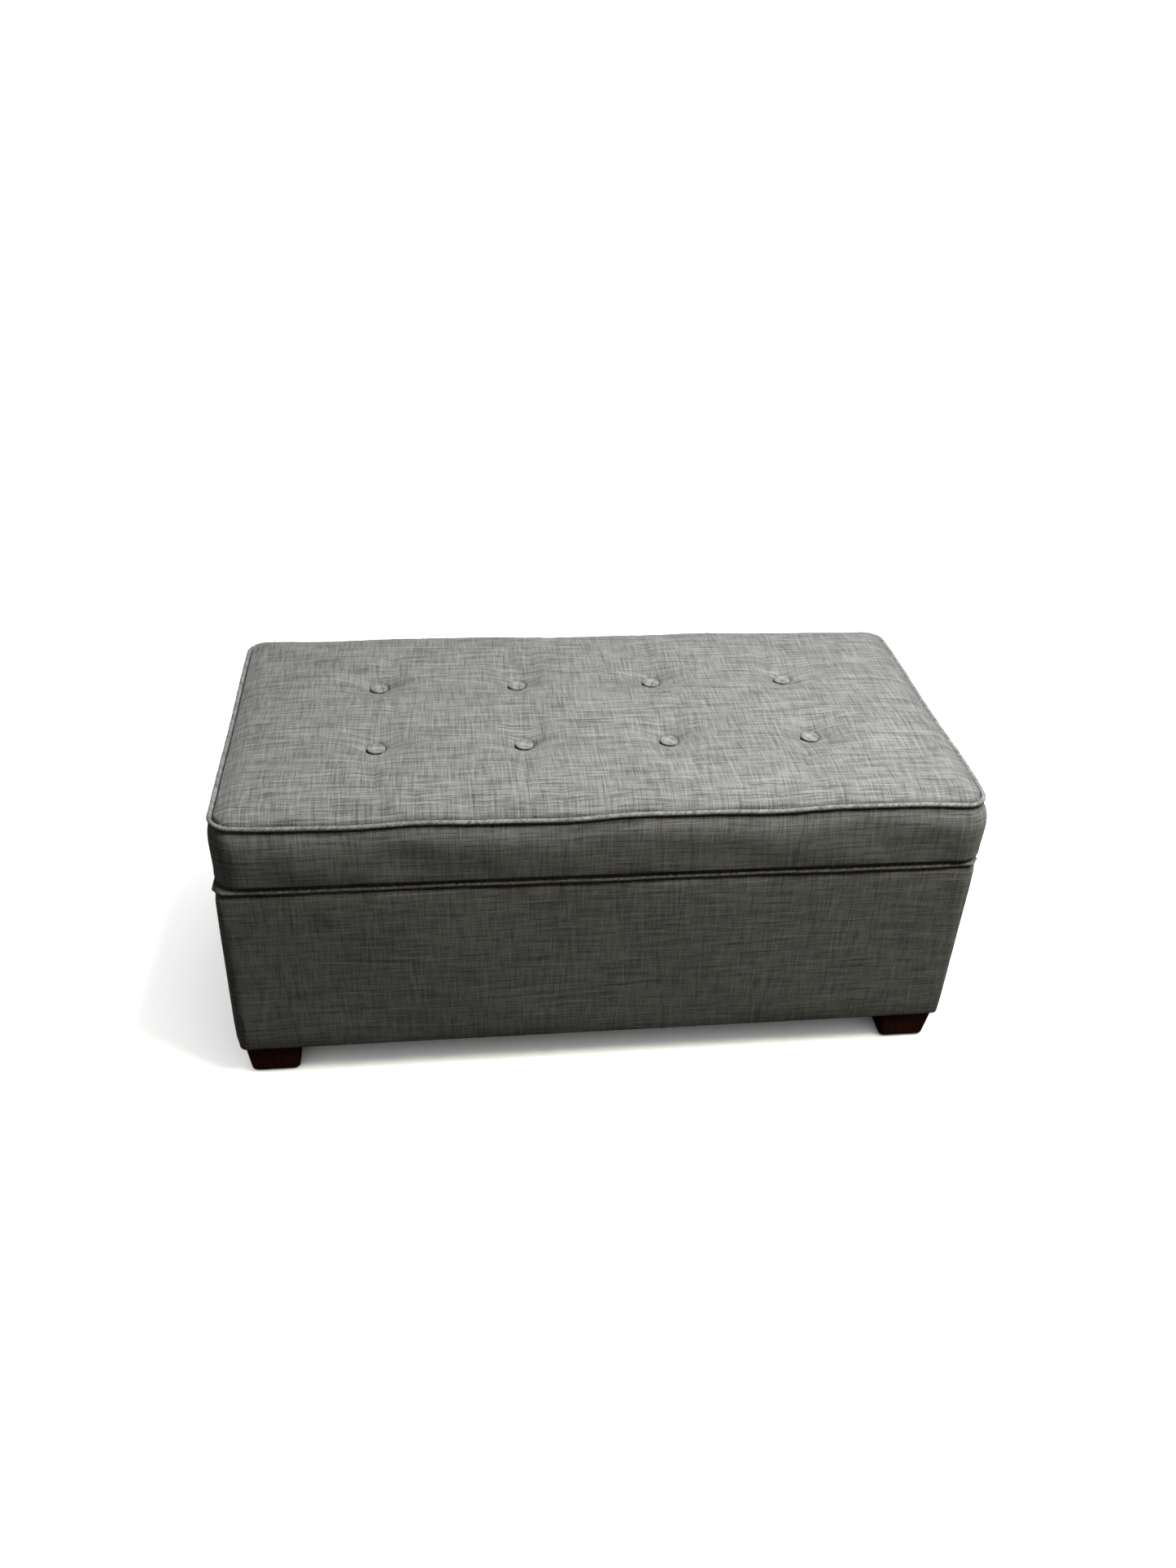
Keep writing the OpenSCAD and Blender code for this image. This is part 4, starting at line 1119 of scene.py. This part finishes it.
STAY_NODES = [f"stay_{part}_{side}" for part in ("bracket", "lever", "elbow_pin", "link") for side in SIDES]
CAD_MATERIALS = [
    (PLYWOOD, ["front_panel", "back_panel", "left_panel", "right_panel", "bottom_panel", "lid_deck"]),
    (PINE, [f"corner_post_{end}_{side}" for end in ENDS for side in SIDES]),
    (ZINC, ["panel_screws", "dust_cover_staples", "foot_bolts", "foot_t_nuts", "hinge_box_leaves",
            "hinge_lid_leaves", "hinge_pins", "box_hardware_screws", "lid_hardware_screws",
            "lid_staples", "button_anchors", "stay_bracket_pins"] + STAY_NODES),
    (DAMPER_PLASTIC, ["stay_damper_left", "stay_damper_right"]),
    (NYLON, ["foot_glides"]),
    (RUBBER, ["rim_bumpers"]),
    (TWINE, ["button_twines"]),
]


# ---------- the studio ----------

# Half the studio's width: near enough for every view's camera, which sees some 60 m, to reach its walls.
STUDIO_HALF = 30.0


def stage_piece(name, vertices, faces, material, seen):
    """A piece of the studio: either seen and giving no light to the bench, or the reverse."""
    mesh = bpy.data.meshes.new(name)
    mesh.from_pydata(vertices, [], faces)
    piece = add_object(name, mesh)
    piece.visible_camera = seen
    piece.visible_diffuse = not seen
    piece.visible_glossy = not seen
    dress(piece, material)
    return piece


def studio_corners(z):
    half = STUDIO_HALF
    return [(-half, -half, z), (half, -half, z), (half, half, z), (-half, half, z)]


def make_floor():
    """A pale floor, and under it a darker one that only bounces light, so that the bench's
    sides stay as deep in tone as they are under a small overhead light."""
    for name, z, tone, seen in (("studio_floor", 0.0, 0.86, True), ("bounce_floor", -0.002, 0.30, False)):
        stage_piece(name, studio_corners(z), [(0, 1, 2, 3)], studio_material(name, tone), seen)


def make_backdrop():
    """Pale walls and a ceiling that only the camera sees."""
    vertices = studio_corners(-1.0) + studio_corners(STUDIO_HALF)
    faces = [(k, (k + 1) % 4, 4 + (k + 1) % 4, 4 + k) for k in range(4)] + [(4, 5, 6, 7)]
    backdrop = stage_piece("backdrop", vertices, faces, studio_material("backdrop", 0.98, glow=1.0), True)
    backdrop.visible_shadow = False


def make_light(name, place, target, size, power, colour):
    """A soft square light that points at a target."""
    lamp = bpy.data.lights.new(name, "AREA")
    lamp.shape = "SQUARE"
    lamp.size = size
    lamp.energy = power
    lamp.color = colour
    light = add_object(name, lamp)
    light.location = place
    light.rotation_euler = (Vector(target) - Vector(place)).to_track_quat("-Z", "Y").to_euler()


def make_floor_light(strength):
    """A wide overhead light that only the pale floor receives, so that it stays white."""
    lamp = bpy.data.lights.new("floor_light", "SUN")
    lamp.energy = strength
    lamp.angle = math.radians(120)
    light = add_object("floor_light", lamp)
    lit = bpy.data.collections.new("lit_by_floor_light")
    lit.objects.link(bpy.data.objects["studio_floor"])
    light.light_linking.receiver_collection = lit


def make_camera(place, yaw, pitch, roll, lens):
    """A camera whose axis is turned right of +Y by yaw and down by pitch, in radians."""
    ahead = Vector((math.sin(yaw) * math.cos(pitch), math.cos(yaw) * math.cos(pitch), -math.sin(pitch)))
    level = Vector((math.cos(yaw), -math.sin(yaw), 0.0))
    above = level.cross(ahead)
    right = math.cos(roll) * level + math.sin(roll) * above
    up = math.cos(roll) * above - math.sin(roll) * level
    data = bpy.data.cameras.new("camera")
    data.sensor_fit = "VERTICAL"
    data.sensor_height = 36.0
    data.lens = lens
    camera = add_object("camera", data)
    turn = Matrix((right, up, -ahead)).transposed().to_4x4()
    camera.matrix_world = Matrix.Translation(place) @ turn
    bpy.context.scene.camera = camera


def make_world(strength, colour):
    world = bpy.data.worlds.new("studio")
    world.use_nodes = True
    background = world.node_tree.nodes["Background"]
    background.inputs["Color"].default_value = (*colour, 1.0)
    background.inputs["Strength"].default_value = strength
    bpy.context.scene.world = world


# ---------- build ----------

make_camera((-0.2068, -1.5238, 1.3416), yaw=0.1355, pitch=0.5878, roll=0.0442, lens=28.48)
make_world(0.055, (1.0, 0.965, 0.88))
make_floor()
make_backdrop()
make_light("overhead", (0.72, -0.20, 2.4), (0.72, -0.20, 0.0), 1.0, 60.5, (0.950, 0.965, 1.0))
make_light("front_overhead", (1.05, -1.0, 2.4), (0.65, -0.6, 0.2), 0.6, 27.3, (1.0, 0.965, 0.78))
make_light("back_fill", (0.3, 2.6, 0.7), (0.0, 0.2, 0.3), 1.2, 6.0, (1.0, 0.98, 0.92))
make_light("left_fill", (-2.8, 0.3, 0.6), (-0.5, 0.0, 0.3), 1.0, 3.5, (1.0, 0.98, 0.92))
make_floor_light(4.0)

settled = relax_seat()
make_lid_band()
make_lid_piping()
make_seat_cover(settled)
make_foam()
make_wadding_wrap()
for number, button_name in enumerate(BUTTON_NODES):
    make_button(button_name, 0.35 * number)
make_lid_lining()
make_box_cover()
make_box_wadding()
make_box_piping()
make_rim_cover()
make_storage_lining()
make_dust_cloth()
for foot_name in FOOT_NODES:
    make_foot(foot_name)
for cad_material, node_names in CAD_MATERIALS:
    for node_name in node_names:
        dress(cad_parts[node_name], cad_material)

bpy.context.scene.view_settings.view_transform = "Standard"
